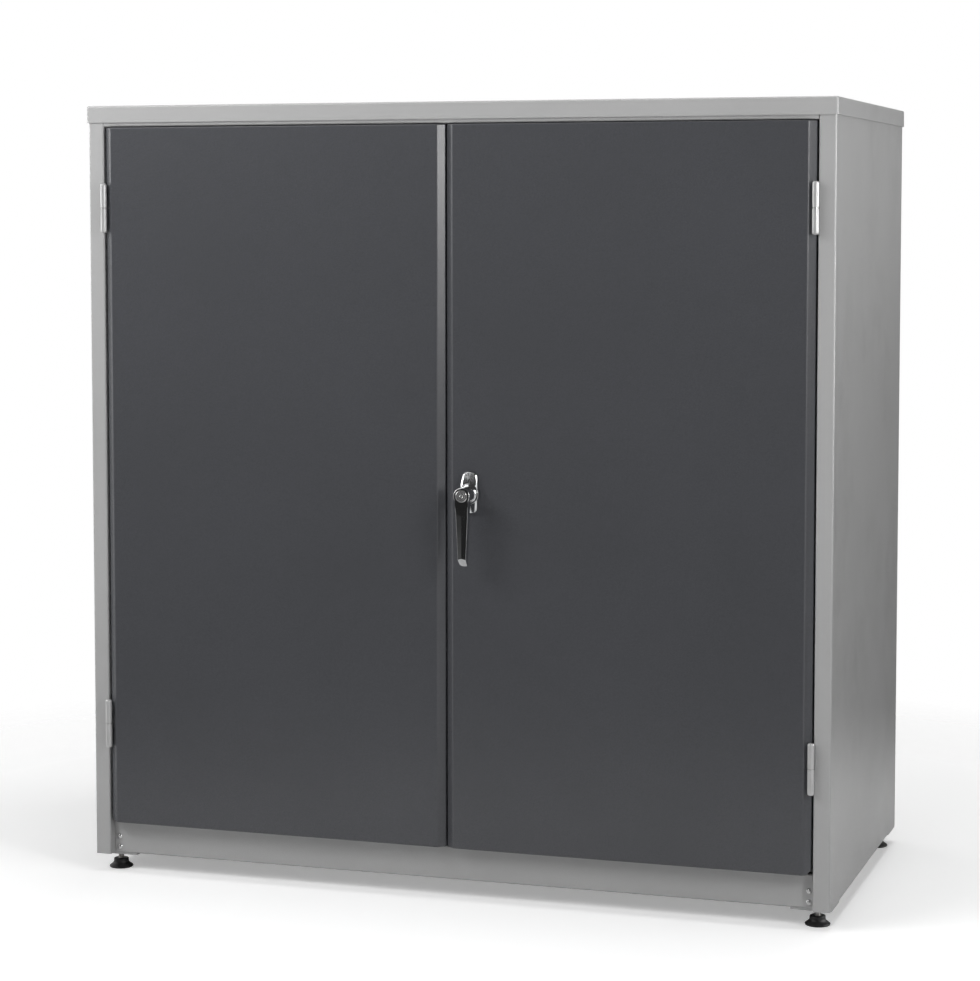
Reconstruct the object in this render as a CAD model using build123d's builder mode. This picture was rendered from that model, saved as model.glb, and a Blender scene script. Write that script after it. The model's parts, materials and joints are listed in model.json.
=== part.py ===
from build123d import *
from math import acos, atan, cos, degrees, pi, radians, sin, sqrt, tan
import os

# A free-standing tool cabinet with two doors: a folded sheet steel body under a lidded top,
# two pan-shaped doors on barrel hinges, shelves on slotted uprights, a swing handle that
# drives two bolts by a rack and pinion, and four levelling feet.
# +Z is up, the doors face -Y, and the origin is on the floor under the middle of the whole.

os.makedirs("parts", exist_ok=True)

# Overall sizes
width = 1000.0              # over the top
depth = 500.0               # over the top
body_height = 1000.0        # from the body's bottom edge to the top
foot_lift = 24.0            # the body's bottom edge above the floor

# Sheet metal
sheet = 1.5
bend = 1.0                  # radius inside a fold
seat = 0.3                  # play where one folded piece sits in another
running = 0.05              # play between a shaft and its hole, on the radius

# Top
lip_height = 22.0
lip_overhang = 2.0
lip_corner = 2.5

# Body
stile_width = 21.5
stile_return = 24.0
back_flange = 22.0
plinth_height = 43.5
plinth_recess = 14.0
rail_flange = 31.0
rail_recess = 0.5
rail_depth = 45.0
rail_upstand = 14.0
floor_flange = 20.0

# Doors
door_proud = 5.0
door_back = 24.0            # how far a door reaches behind the front of the body
door_side_gap = 2.4
door_middle_gap = 1.6
door_top_gap = 28.5         # from the very top down to a door
door_bottom_gap = 45.0      # from the body's bottom edge up to a door
door_rail_gap = 1.0
door_floor_gap = 1.5        # from a shut door's back to the floor's front edge
bevel_width = 10.0
bevel_depth = 8.0
door_return = 12.0
door_hem = 18.0
bottom_clip = 4.0
top_clip = 1.3
stiffener_web = 44.0
stiffener_foot = 16.0
stiffener_depth = 20.0
stiffener_end_gap = 30.0

# Hinges
barrel_radius = 4.25
barrel_length = 65.0
barrel_rounding = 2.6
barrel_inset = 2.2          # from the stile's inner edge towards the door
barrel_forward = 6.0        # in front of the stile
hinge_leaf = 1.1
hinge_leaf_back = 12.0
hinge_pin_radius = 2.5
hinge_pin_length = 54.0
hinge_washer = 1.2
hinge_washer_radius = 3.6
upper_hinge_drop = 134.5    # from the very top down to the middle of a barrel
lower_hinge_rise = 179.0    # from the body's bottom edge up to the middle of a barrel

# Handle and lock
handle_x = 35.0
handle_height = 504.5       # above the body's bottom edge
escutcheon_width = 22.6      # at its middle
escutcheon_end_width = 17.8  # between its corners
escutcheon_height = 54.0
escutcheon_arch = 2.6        # rise of its ends between the corners
escutcheon_rise = 1.5        # its middle above the hub's axis
escutcheon_thickness = 9.0
escutcheon_bevel = 3.0
escutcheon_corner = 4.0
boss_radius = 13.5          # round the neck, where it meets the escutcheon
boss_reach = 5.0            # out from the door's face
neck_radius = 10.3
neck_reach = 17.0           # out from the door's face
handle_reach = 38.0         # out from the door's face to the front of the hub
hub_radius = 10.7
lever_root_width = 16.5
lever_tip_width = 12.0
lever_drop = 89.5           # from the hub's axis to the tip
lever_thickness = 11.0
lever_set_back = 2.0        # the arm's front behind the hub's front
lever_tip_slope = 8.0
lever_rounding = 2.0
hub_rounding = 1.5
spigot_radius = 8.0
groove_depth = 1.0
ring_thickness = 1.2
ring_radius = 11.0
ring_mouth = 6.0
cylinder_radius = 7.5
cylinder_depth = 13.0
cylinder_proud = 0.6
plug_radius = 5.0
plug_back_wall = 2.0
key_slot_width = 1.4
key_slot_height = 6.5
key_slot_depth = 8.0
spindle_size = 8.0
spindle_socket = 20.0       # length held by the lever

# Rack and pinion
tooth_count = 16
module = 1.25
pressure_angle = 20.0
addendum = 1.0
dedendum = 1.5
tooth_play = 0.3
pinion_thickness = 4.6
pinion_boss_radius = 7.5
pinion_boss_length = 6.0
bolt_width = 8.0
bolt_thickness = 4.0
bolt_play = 0.5
bolt_back_gap = 0.5         # from the bolts to a door's folded edge
bolt_shy = 0.5              # how far a drawn bolt's end lies inside its door
case_wall = 2.0
case_height = 64.0
cover_thickness = 2.0
tip_clearance = 2.8         # room beside a bolt for its teeth in the case's end wall
guide_width = 14.0
guide_height = 20.0
guide_distance = 230.0

# Inside
upright_width = 25.0
upright_depth = 12.0
upright_sheet = 1.5
upright_front = 62.0        # from the body's front to the middle of an upright
upright_rear = 60.0         # from the body's back to the middle of an upright
upright_top_gap = 40.0
slot_pitch = 25.0
slot_width = 4.0
slot_height = 14.0
slot_margin = 30.0
shelf_height = 30.0
shelf_front = 50.0          # from the body's front
shelf_back_gap = 6.0
shelf_side_gap = 1.0
shelf_hem = 12.0
lower_shelf_slot_count = 11  # slots left free under the lower shelf's clips
upper_shelf_slot_count = 23
clip_thickness = 3.0
clip_height = 12.0
clip_reach = 15.0
clip_grip = 6.0

# Catches on the left door
catch_x = 40.0
catch_width = 44.0
catch_depth = 19.0
catch_height = 13.0
catch_gap = 0.4
magnet_width = 30.0
magnet_height = 5.0
magnet_depth = 6.0

# Feet
foot_inset_x = 21.0         # from the body's side
foot_inset_y = 33.0         # from the body's front or back
foot_plate = 3.0
foot_plate_size = 52.0
foot_plate_setback = 2.0    # from the plinth's face to a plate's edge
gusset_sheet = 2.0
gusset_width = 16.0
nut_notch = 2.0             # room round a foot's nut
stud_radius = 4.0
stud_above_plate = 26.0
stud_in_pad = 5.0
nut_width = 13.0
nut_height = 8.0
pad_radius = 16.0
pad_rim = 2.0
pad_height = 12.0
pad_collar_radius = 10.0
pad_collar_height = 5.0
pad_rounding = 1.5
pad_hollow = 2.5            # radius where the collar meets the base
stud_chamfer = 0.8
screw_head_radius = 3.6
screw_head_height = 2.2
screw_radius = 2.0
screw_length = 10.0
screw_dome = 0.8            # share of a screw head's height that is rounded
screw_inset = 4.5           # from the stile's inner edge
screw_low = 8.0             # above the body's bottom edge
screw_high = 22.0

# Levels and planes that follow from the sizes above
body_bottom = foot_lift
body_top = foot_lift + body_height
front = (door_proud + handle_reach + cylinder_proud + lip_overhang - depth) / 2
back = front + depth - 2 * lip_overhang
side = width / 2 - lip_overhang
inside = side - sheet
stile_edge = side - stile_width
panel_top = body_top - sheet - seat
fold = bend + sheet / 2     # radius of a fold at the middle of the sheet
half = sheet / 2
floor_top = body_bottom + plinth_height + sheet
floor_front = front + door_back + door_floor_gap
back_panel_front = back - 2 * sheet - seat
door_bottom = body_bottom + door_bottom_gap
door_top = body_top - door_top_gap
door_height = door_top - door_bottom
door_face = front - door_proud
door_inner_face = door_face + sheet
door_edge = stile_edge - door_side_gap
door_rear = front + door_back
rail_bottom = door_top + door_rail_gap
barrel_x = stile_edge - barrel_inset
barrel_y = front - barrel_forward
upper_hinge_z = body_top - upper_hinge_drop
lower_hinge_z = body_bottom + lower_hinge_rise
handle_z = body_bottom + handle_height
pitch_radius = module * tooth_count / 2
bolt_rear = door_rear - sheet - bolt_back_gap
bolt_front = bolt_rear - bolt_thickness
bolt_inner = pitch_radius + dedendum            # from the pinion's axis
bolt_outer = bolt_inner + bolt_width
bolt_travel = pitch_radius * pi / 2
case_half = bolt_outer + seat + case_wall
case_rear = door_rear - sheet
upright_face = inside - upright_depth
upright_bottom = floor_top + seat
upright_top = body_top - upright_top_gap


def save(piece, name):
    piece.part.label = name
    export_step(piece.part, f"parts/{name}.step")


def folded_strip(points, radius=fold, gauge=sheet):
    """The section of a folded sheet, drawn along the middle of its thickness."""
    with BuildLine() as path:
        FilletPolyline(*points, radius=radius)
    trace(path.line, line_width=gauge)


def block(low, high, mode=Mode.ADD):
    """A box between two corners."""
    with Locations(tuple((a + b) / 2 for a, b in zip(low, high))):
        Box(*[b - a for a, b in zip(low, high)], mode=mode)


def rod_along_y(x, z, radius, y_from, y_to, mode=Mode.ADD):
    """A round bar that runs from front to back."""
    with BuildSketch(Plane.XZ.offset(-y_to)) as end:
        with Locations((x, z)):
            Circle(radius)
    extrude(end.sketch, amount=y_to - y_from, mode=mode)


def shell(pan, low, high, corner=lip_corner, gauge=sheet):
    """A shallow tray of sheet, turned over, with rounded folds."""
    block(low, high)
    fillet(pan.edges().filter_by(Axis.Z), radius=corner)
    fillet(pan.faces().sort_by(Axis.Z)[-1].edges(), radius=corner)
    offset(amount=-gauge, openings=pan.faces().sort_by(Axis.Z)[0])


# ---------------------------------------------------------------- top
with BuildPart() as top_cap:
    shell(top_cap,
          (-width / 2, front - lip_overhang, body_top - lip_height),
          (width / 2, back + lip_overhang, body_top))
save(top_cap, "top_cap")


# ---------------------------------------------------------------- body
def side_panel(hand, name):
    """A side with the door stile folded at its front and a flange at its back."""
    outer = hand * (side - half)
    stile = hand * (stile_edge + half)
    with BuildPart() as panel:
        with BuildSketch(Plane.XY.offset(body_bottom)):
            folded_strip([
                (stile, front + stile_return),
                (stile, front + half),
                (outer, front + half),
                (outer, back - half),
                (outer - hand * back_flange, back - half),
            ])
        extrude(amount=panel_top - body_bottom)
    save(panel, name)


side_panel(-1, "left_side_panel")
side_panel(1, "right_side_panel")

with BuildPart() as back_panel:
    block((seat - inside, back_panel_front, body_bottom),
          (inside - seat, back_panel_front + sheet, panel_top))
save(back_panel, "back_panel")

with BuildPart() as base_panel:
    with BuildSketch(Plane.YZ.offset(seat - inside)):
        folded_strip([
            (floor_front, floor_top - half),
            (back_panel_front - seat - half, floor_top - half),
            (back_panel_front - seat - half, floor_top - floor_flange),
        ])
    extrude(amount=2 * (inside - seat))
save(base_panel, "base_panel")


def bolt_hole(left, z):
    """A slot for a bolt through a horizontal flange at the height z."""
    block((left - bolt_play, bolt_front - bolt_play, z - sheet),
          (left + bolt_width + bolt_play, bolt_rear + bolt_play, z + sheet),
          mode=Mode.SUBTRACT)


top_bolt_left = handle_x + bolt_inner
bottom_bolt_left = handle_x - bolt_outer

with BuildPart() as top_rail:
    rail_front = front + rail_recess + half
    rail_back = front + rail_recess + rail_depth
    with BuildSketch(Plane.YZ.offset(seat - stile_edge)):
        folded_strip([
            (rail_back - rail_upstand, panel_top - half),
            (rail_front, panel_top - half),
            (rail_front, rail_bottom + half),
            (rail_back, rail_bottom + half),
            (rail_back, rail_bottom + rail_upstand),
        ])
    extrude(amount=2 * (stile_edge - seat))
    bolt_hole(top_bolt_left, rail_bottom)
save(top_rail, "top_rail")

foot_x = side - foot_inset_x
front_foot_y = front + foot_inset_y
rear_foot_y = back - foot_inset_y
corners = [(-foot_x, front_foot_y), (foot_x, front_foot_y),
           (-foot_x, rear_foot_y), (foot_x, rear_foot_y)]


def nut_notches(y):
    """Room for the two foot nuts through a rail's lower flange."""
    reach = nut_width / 2 + nut_notch
    with Locations((-foot_x, y, body_bottom + half), (foot_x, y, body_bottom + half)):
        Box(2 * reach, 2 * reach, 2 * sheet, mode=Mode.SUBTRACT)


plinth_front = front + plinth_recess
plinth_top = body_bottom + plinth_height
screw_columns = 2 * (stile_edge - seat - gusset_sheet - screw_inset)
screw_middle = body_bottom + (screw_low + screw_high) / 2


def plinth_screw_places():
    """The four places of the plinth's screws, in a plane parallel to its face."""
    return GridLocations(screw_columns, screw_high - screw_low, 2, 2)


with BuildPart() as plinth_rail:
    with BuildSketch(Plane.YZ.offset(seat - stile_edge)):
        folded_strip([
            (plinth_front + rail_flange, plinth_top - half),
            (plinth_front + half, plinth_top - half),
            (plinth_front + half, body_bottom + half),
            (plinth_front + rail_flange, body_bottom + half),
        ])
    extrude(amount=2 * (stile_edge - seat))
    bolt_hole(bottom_bolt_left, plinth_top)
    nut_notches(front_foot_y)
    with BuildSketch(Plane.XZ.offset(-plinth_front)):
        with Locations((0, screw_middle)):
            with plinth_screw_places():
                Circle(screw_radius + running)
    extrude(amount=-sheet, mode=Mode.SUBTRACT)
save(plinth_rail, "plinth_rail")

gusset_front = plinth_front + sheet
gusset_low = body_bottom + sheet + bend + seat
gusset_high = plinth_top - sheet - bend - seat

with BuildPart() as plinth_gussets:
    for hand in (-1, 1):
        outer = hand * (stile_edge - seat)
        with BuildSketch(Plane.XY.offset(gusset_low)):
            folded_strip([
                (outer - hand * gusset_width, gusset_front + gusset_sheet / 2),
                (outer - hand * gusset_sheet / 2, gusset_front + gusset_sheet / 2),
                (outer - hand * gusset_sheet / 2, front + stile_return),
            ], radius=bend + gusset_sheet / 2, gauge=gusset_sheet)
        extrude(amount=gusset_high - gusset_low)
    with BuildSketch(Plane.XZ.offset(-gusset_front)):
        with Locations((0, screw_middle)):
            with plinth_screw_places():
                Circle(screw_radius + running)
    extrude(amount=-gusset_sheet, mode=Mode.SUBTRACT)
save(plinth_gussets, "plinth_gussets")

with BuildPart() as plinth_screws:
    with BuildSketch(Plane.XZ.offset(-plinth_front)):
        with Locations((0, screw_middle)):
            with plinth_screw_places():
                Circle(screw_head_radius)
    extrude(amount=screw_head_height)
    fillet(plinth_screws.faces().sort_by(Axis.Y)[0:4].edges(),
           radius=screw_head_height * screw_dome)
    with BuildSketch(Plane.XZ.offset(-plinth_front)):
        with Locations((0, screw_middle)):
            with plinth_screw_places():
                Circle(screw_radius)
    extrude(amount=-screw_length)
save(plinth_screws, "plinth_screws")

rear_rail_back = back_panel_front - seat - sheet - seat

with BuildPart() as rear_rail:
    with BuildSketch(Plane.YZ.offset(seat - inside)):
        folded_strip([
            (rear_rail_back - rail_flange, floor_top - sheet - half),
            (rear_rail_back - half, floor_top - sheet - half),
            (rear_rail_back - half, body_bottom + half),
            (rear_rail_back - rail_flange, body_bottom + half),
        ])
    extrude(amount=2 * (inside - seat))
    nut_notches(rear_foot_y)
save(rear_rail, "rear_rail")


# ---------------------------------------------------------------- feet
plate_bottom = body_bottom - foot_plate

with BuildPart() as foot_plates:
    for x, y in corners:
        hand = 1 if x > 0 else -1
        if y < (front + back) / 2:
            near = plinth_front + foot_plate_setback
            far = near + foot_plate_size
        else:
            far = back - sheet
            near = far - foot_plate_size
        middle = (hand * (side - seat - foot_plate_size / 2), (near + far) / 2)
        with BuildSketch(Plane.XY.offset(plate_bottom)):
            with Locations(middle):
                Rectangle(foot_plate_size, foot_plate_size)
            with Locations((x, y)):
                Circle(stud_radius + running, mode=Mode.SUBTRACT)
        extrude(amount=foot_plate)
save(foot_plates, "foot_plates")

with BuildPart() as foot_nuts:
    with BuildSketch(Plane.XY.offset(body_bottom)):
        with Locations(*corners):
            RegularPolygon(nut_width / 2, 6, major_radius=False)
            Circle(stud_radius + running, mode=Mode.SUBTRACT)
    extrude(amount=nut_height)
save(foot_nuts, "foot_nuts")

foot_names = ["front_left", "front_right", "rear_left", "rear_right"]

for place, (x, y) in zip(foot_names, corners):
    with BuildPart() as foot_pad:
        with BuildSketch(Plane.XZ.offset(-y)):
            with BuildLine():
                FilletPolyline(
                    (x, 0), (x + pad_radius, 0), (x + pad_radius, pad_rim),
                    (x + pad_collar_radius, pad_height - pad_collar_height),
                    (x + pad_collar_radius, pad_height), (x, pad_height),
                    radius=[0, pad_rounding / 2, pad_hollow, pad_rounding], close=False)
                Line((x, pad_height), (x, 0))
            make_face()
        revolve(axis=Axis((x, y, 0), (0, 0, 1)))
        with BuildSketch(Plane.XY.offset(pad_height - stud_in_pad)):
            with Locations((x, y)):
                Circle(stud_radius)
        extrude(amount=stud_in_pad, mode=Mode.SUBTRACT)
    save(foot_pad, f"{place}_foot_pad")

    with BuildPart() as foot_stud:
        with BuildSketch(Plane.XY.offset(pad_height - stud_in_pad)):
            with Locations((x, y)):
                Circle(stud_radius)
        extrude(amount=stud_in_pad + body_bottom - pad_height + stud_above_plate)
        chamfer(foot_stud.edges().sort_by(Axis.Z)[-1], length=stud_chamfer)
    save(foot_stud, f"{place}_foot_stud")


# ---------------------------------------------------------------- hinges
def hinge_half(hand, middle, name, upper):
    """The half on the body is the lower one, and the half on the door is the upper one."""
    x = hand * barrel_x
    gap = hinge_washer / 2
    low = middle + gap if upper else middle - barrel_length / 2
    high = middle + barrel_length / 2 if upper else middle - gap
    leaf_from = door_edge if upper else stile_edge - hinge_leaf
    leaf_low = low if upper else low + barrel_rounding
    leaf_high = high - barrel_rounding if upper else high
    with BuildPart() as piece:
        with BuildSketch(Plane.XY.offset(low)):
            with Locations((x, barrel_y)):
                Circle(barrel_radius)
        extrude(amount=high - low)
        free_end = piece.edges().sort_by(Axis.Z)[-1 if upper else 0]
        fillet(free_end, radius=barrel_rounding)
        leaf_x = sorted((hand * leaf_from, hand * (leaf_from + hinge_leaf)))
        block((leaf_x[0], barrel_y, leaf_low),
              (leaf_x[1], front + hinge_leaf_back, leaf_high))
        with BuildSketch(Plane.XY.offset(middle - hinge_pin_length / 2 - seat)):
            with Locations((x, barrel_y)):
                Circle(hinge_pin_radius + running)
        extrude(amount=hinge_pin_length + 2 * seat, mode=Mode.SUBTRACT)
    save(piece, name)


hinge_places = [(hand, level, middle)
                for hand in (-1, 1)
                for level, middle in (("upper", upper_hinge_z), ("lower", lower_hinge_z))]

for hand, level, middle in hinge_places:
    place = ("left" if hand < 0 else "right") + "_" + level
    hinge_half(hand, middle, f"{place}_hinge_body_half", upper=False)
    hinge_half(hand, middle, f"{place}_hinge_door_half", upper=True)

with BuildPart() as hinge_pins:
    for hand, level, middle in hinge_places:
        with BuildSketch(Plane.XY.offset(middle - hinge_pin_length / 2)):
            with Locations((hand * barrel_x, barrel_y)):
                Circle(hinge_pin_radius)
        extrude(amount=hinge_pin_length)
save(hinge_pins, "hinge_pins")

with BuildPart() as hinge_washers:
    for hand, level, middle in hinge_places:
        with BuildSketch(Plane.XY.offset(middle - hinge_washer / 2 + running)):
            with Locations((hand * barrel_x, barrel_y)):
                Circle(hinge_washer_radius)
                Circle(hinge_pin_radius + running, mode=Mode.SUBTRACT)
        extrude(amount=hinge_washer - 2 * running)
save(hinge_washers, "hinge_washers")


# ---------------------------------------------------------------- doors
free_edge = door_middle_gap / 2
return_middle = door_rear - half
bevel_foot = door_face + bevel_depth


def door_path(hand, returns):
    """A door's section across, along the middle of the sheet, from its hinge to its free edge."""
    outer = door_edge - half
    inner = free_edge + half
    turned = [
        (outer, return_middle),
        (outer, bevel_foot),
        (door_edge - bevel_width, door_face + half),
        (free_edge + bevel_width, door_face + half),
        (inner, bevel_foot),
        (inner, return_middle),
    ]
    ends = [(door_edge - door_return, return_middle), (free_edge + door_return, return_middle)]
    points = [ends[0], *turned, ends[1]] if returns else turned
    return [(hand * x, y) for x, y in points]


def door_plate(hand, z):
    """The flange that closes a door at its top or bottom, one sheet thick."""
    with BuildSketch(Plane.XY.offset(z)) as plate:
        folded_strip(door_path(hand, returns=False), radius=fold)
        with BuildLine() as outline:
            Polyline(*door_path(hand, returns=False), close=True)
        make_face(outline.line)
    extrude(plate.sketch, amount=sheet)


def door_hem_strip(hand, low, high):
    """The fold that runs behind a door along its top or bottom."""
    ends = sorted((hand * (free_edge + sheet), hand * (door_edge - sheet)))
    block((ends[0], door_rear - sheet, low), (ends[1], door_rear, high))


def corner_clip(hand, z, leg):
    """The corner cut off a door at its hinge side."""
    rise = leg if z < (door_bottom + door_top) / 2 else -leg
    with BuildSketch(Plane.XZ.offset(-door_rear)) as corner:
        with BuildLine() as triangle:
            Polyline(
                (hand * (door_edge + sheet), z - rise),
                (hand * (door_edge + sheet), z + rise + sheet * rise / leg),
                (hand * (door_edge - leg - sheet), z - rise),
                close=True)
        make_face(triangle.line)
    extrude(corner.sketch, amount=door_rear - door_face, mode=Mode.SUBTRACT)


def door_panel(panel, hand):
    """A pan with bevels down both upright edges and its corners clipped at the hinges."""
    with BuildSketch(Plane.XY.offset(door_bottom)) as section:
        folded_strip(door_path(hand, returns=True))
    extrude(section.sketch, amount=door_height)
    door_plate(hand, door_bottom)
    door_plate(hand, door_top - sheet)
    door_hem_strip(hand, door_bottom, door_bottom + door_hem)
    door_hem_strip(hand, door_top - door_hem, door_top)
    corner_clip(hand, door_bottom, bottom_clip)
    corner_clip(hand, door_top, top_clip)


with BuildPart() as left_door_panel:
    door_panel(left_door_panel, -1)
save(left_door_panel, "left_door_panel")

with BuildPart() as right_door_panel:
    door_panel(right_door_panel, 1)
    bolt_hole(top_bolt_left, door_top)
    bolt_hole(bottom_bolt_left, door_bottom)
    rod_along_y(handle_x, handle_z, spigot_radius + seat, door_face - sheet,
                door_inner_face + sheet, mode=Mode.SUBTRACT)
save(right_door_panel, "right_door_panel")


def door_stiffener(hand, name):
    """An upright hat section behind the middle of a door."""
    middle = hand * (free_edge + door_edge) / 2
    web = stiffener_web / 2
    foot = web + stiffener_foot
    near = door_inner_face + half
    far = door_inner_face + stiffener_depth - half
    with BuildPart() as stiffener:
        with BuildSketch(Plane.XY.offset(door_bottom + stiffener_end_gap)):
            folded_strip([
                (middle - foot, near), (middle - web, near), (middle - web, far),
                (middle + web, far), (middle + web, near), (middle + foot, near),
            ])
        extrude(amount=door_height - 2 * stiffener_end_gap)
    save(stiffener, name)


door_stiffener(-1, "left_door_stiffener")
door_stiffener(1, "right_door_stiffener")


# ---------------------------------------------------------------- handle
middle_z = handle_z + escutcheon_rise
neck_front = door_face - neck_reach
neck_length = neck_reach - boss_reach
neck_taper = degrees(atan((boss_radius - neck_radius) / neck_length))
hub_back = neck_front - seat
hub_front = door_face - handle_reach
case_front = door_inner_face
case_floor = case_front + case_wall
ring_front = case_floor + seat
spigot_end = ring_front + ring_thickness + groove_depth

with BuildPart() as handle_escutcheon:
    with BuildSketch(Plane.XZ.offset(-door_face)):
        with BuildLine():
            upper = middle_z + escutcheon_height / 2
            lower = middle_z - escutcheon_height / 2
            left = handle_x - escutcheon_end_width / 2
            right = handle_x + escutcheon_end_width / 2
            upper_left = (left, upper - escutcheon_arch)
            upper_right = (right, upper - escutcheon_arch)
            lower_left = (left, lower + escutcheon_arch)
            lower_right = (right, lower + escutcheon_arch)
            ThreePointArc(lower_right, (handle_x + escutcheon_width / 2, middle_z), upper_right)
            ThreePointArc(upper_right, (handle_x, upper), upper_left)
            ThreePointArc(upper_left, (handle_x - escutcheon_width / 2, middle_z), lower_left)
            ThreePointArc(lower_left, (handle_x, lower), lower_right)
        make_face()
    extrude(amount=escutcheon_thickness)
    fillet(handle_escutcheon.edges().filter_by(Axis.Y), radius=escutcheon_corner)
    front_edges = handle_escutcheon.faces().sort_by(Axis.Y)[0].edges()
    chamfer(front_edges, length=escutcheon_bevel)
    rod_along_y(handle_x, handle_z, boss_radius, door_face - boss_reach, door_face)
    with BuildSketch(Plane.XZ.offset(boss_reach - door_face)):
        with Locations((handle_x, handle_z)):
            Circle(boss_radius)
    extrude(amount=neck_length, taper=neck_taper)
    rod_along_y(handle_x, handle_z, spigot_radius + running, neck_front, door_face,
                mode=Mode.SUBTRACT)
save(handle_escutcheon, "handle_escutcheon")

arm_front = hub_front + lever_set_back

with BuildPart() as handle_lever:
    with BuildSketch(Plane.XZ.offset(-arm_front - lever_thickness)):
        with BuildLine():
            Polyline(
                (handle_x - lever_root_width / 2, handle_z),
                (handle_x - lever_tip_width / 2, handle_z - lever_drop),
                (handle_x + lever_tip_width / 2, handle_z - lever_drop),
                (handle_x + lever_root_width / 2, handle_z),
                close=True)
        make_face()
    extrude(amount=lever_thickness)
    tip = handle_lever.faces().sort_by(Axis.Z)[0]
    chamfer(tip.edges().sort_by(Axis.Y)[0], length=lever_tip_slope)
    long_edges = handle_lever.edges().filter_by(
        lambda edge: edge.length > lever_drop / 2)
    fillet(long_edges, radius=lever_rounding)
    rod_along_y(handle_x, handle_z, hub_radius, hub_front, hub_back)
    fillet(handle_lever.faces().sort_by(Axis.Y)[0].edges(), radius=hub_rounding)
    rod_along_y(handle_x, handle_z, spigot_radius, hub_back, spigot_end)
    rod_along_y(handle_x, handle_z, cylinder_radius + running, hub_front,
                hub_front + cylinder_depth, mode=Mode.SUBTRACT)
    with BuildSketch(Plane.XZ.offset(-spigot_end)):
        with Locations((handle_x, handle_z)):
            Rectangle(spindle_size + 2 * running, spindle_size + 2 * running)
    extrude(amount=spindle_socket, mode=Mode.SUBTRACT)
    with BuildSketch(Plane.XZ.offset(-ring_front - ring_thickness)):
        with Locations((handle_x, handle_z)):
            Circle(spigot_radius + seat)
            Circle(spigot_radius - groove_depth, mode=Mode.SUBTRACT)
    extrude(amount=ring_thickness, mode=Mode.SUBTRACT)
save(handle_lever, "handle_lever")

with BuildPart() as handle_ring:
    with BuildSketch(Plane.XZ.offset(-ring_front - ring_thickness + running)):
        with Locations((handle_x, handle_z)):
            Circle(ring_radius)
            Circle(spigot_radius - groove_depth + running, mode=Mode.SUBTRACT)
        with Locations((handle_x, handle_z + ring_radius)):
            Rectangle(ring_mouth, 2 * ring_radius, mode=Mode.SUBTRACT)
    extrude(amount=ring_thickness - 2 * running)
save(handle_ring, "handle_ring")

cylinder_front = hub_front - cylinder_proud
plug_back = hub_front + cylinder_depth - plug_back_wall

with BuildPart() as lock_cylinder:
    rod_along_y(handle_x, handle_z, cylinder_radius, cylinder_front,
                hub_front + cylinder_depth - running)
    chamfer(lock_cylinder.edges().sort_by(Axis.Y)[0], length=cylinder_proud / 2)
    rod_along_y(handle_x, handle_z, plug_radius + running, cylinder_front,
                plug_back + running, mode=Mode.SUBTRACT)
save(lock_cylinder, "lock_cylinder")

with BuildPart() as lock_plug:
    rod_along_y(handle_x, handle_z, plug_radius, cylinder_front, plug_back)
    key_middle = cylinder_front + key_slot_depth / 2
    with Locations((handle_x, key_middle, handle_z)):
        Box(key_slot_width, key_slot_depth, key_slot_height, mode=Mode.SUBTRACT)
save(lock_plug, "lock_plug")

cover_rear = case_rear + seat + cover_thickness
spindle_front = spigot_end - spindle_socket + seat

with BuildPart() as handle_spindle:
    with BuildSketch(Plane.XZ.offset(-cover_rear)):
        with Locations((handle_x, handle_z)):
            Rectangle(spindle_size, spindle_size)
    extrude(amount=cover_rear - spindle_front)
save(handle_spindle, "handle_spindle")


# ---------------------------------------------------------------- rack and pinion
pitch = pi * module
base_radius = pitch_radius * cos(radians(pressure_angle))
tip_radius = pitch_radius + addendum
root_radius = pitch_radius - dedendum
play_angle = tooth_play / 2 / pitch_radius
pinion_middle = bolt_front + bolt_thickness / 2
pinion_front = pinion_middle - pinion_thickness / 2


def half_tooth(radius):
    """Half the angle that an involute tooth takes up at a radius."""
    def involute(angle):
        return tan(angle) - angle
    flank = acos(min(1.0, base_radius / radius))
    at_pitch = pi / 2 / tooth_count
    return at_pitch + involute(radians(pressure_angle)) - involute(flank) - play_angle


def pinion_outline():
    """Corner points of the toothed wheel, seen from the back of the door."""
    radii = [root_radius, base_radius, pitch_radius, tip_radius]
    flank = [(radius, half_tooth(radius)) for radius in radii]
    points = []
    for tooth in range(tooth_count):
        centre = 2 * pi * tooth / tooth_count
        for radius, angle in flank:
            points.append((radius * cos(centre - angle), radius * sin(centre - angle)))
        for radius, angle in reversed(flank):
            points.append((radius * cos(centre + angle), radius * sin(centre + angle)))
    return [(handle_x + x, handle_z + z) for x, z in points]


with BuildPart() as pinion:
    with BuildSketch(Plane.XZ.offset(-pinion_front - pinion_thickness)):
        with BuildLine():
            Polyline(*pinion_outline(), close=True)
        make_face()
    extrude(amount=pinion_thickness)
    rod_along_y(handle_x, handle_z, pinion_boss_radius, pinion_front - pinion_boss_length,
                pinion_front)
    with BuildSketch(Plane.XZ.offset(-pinion_front - pinion_thickness)):
        with Locations((handle_x, handle_z)):
            Rectangle(spindle_size + 2 * running, spindle_size + 2 * running)
    extrude(amount=pinion_thickness + pinion_boss_length, mode=Mode.SUBTRACT)
save(pinion, "pinion")


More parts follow.
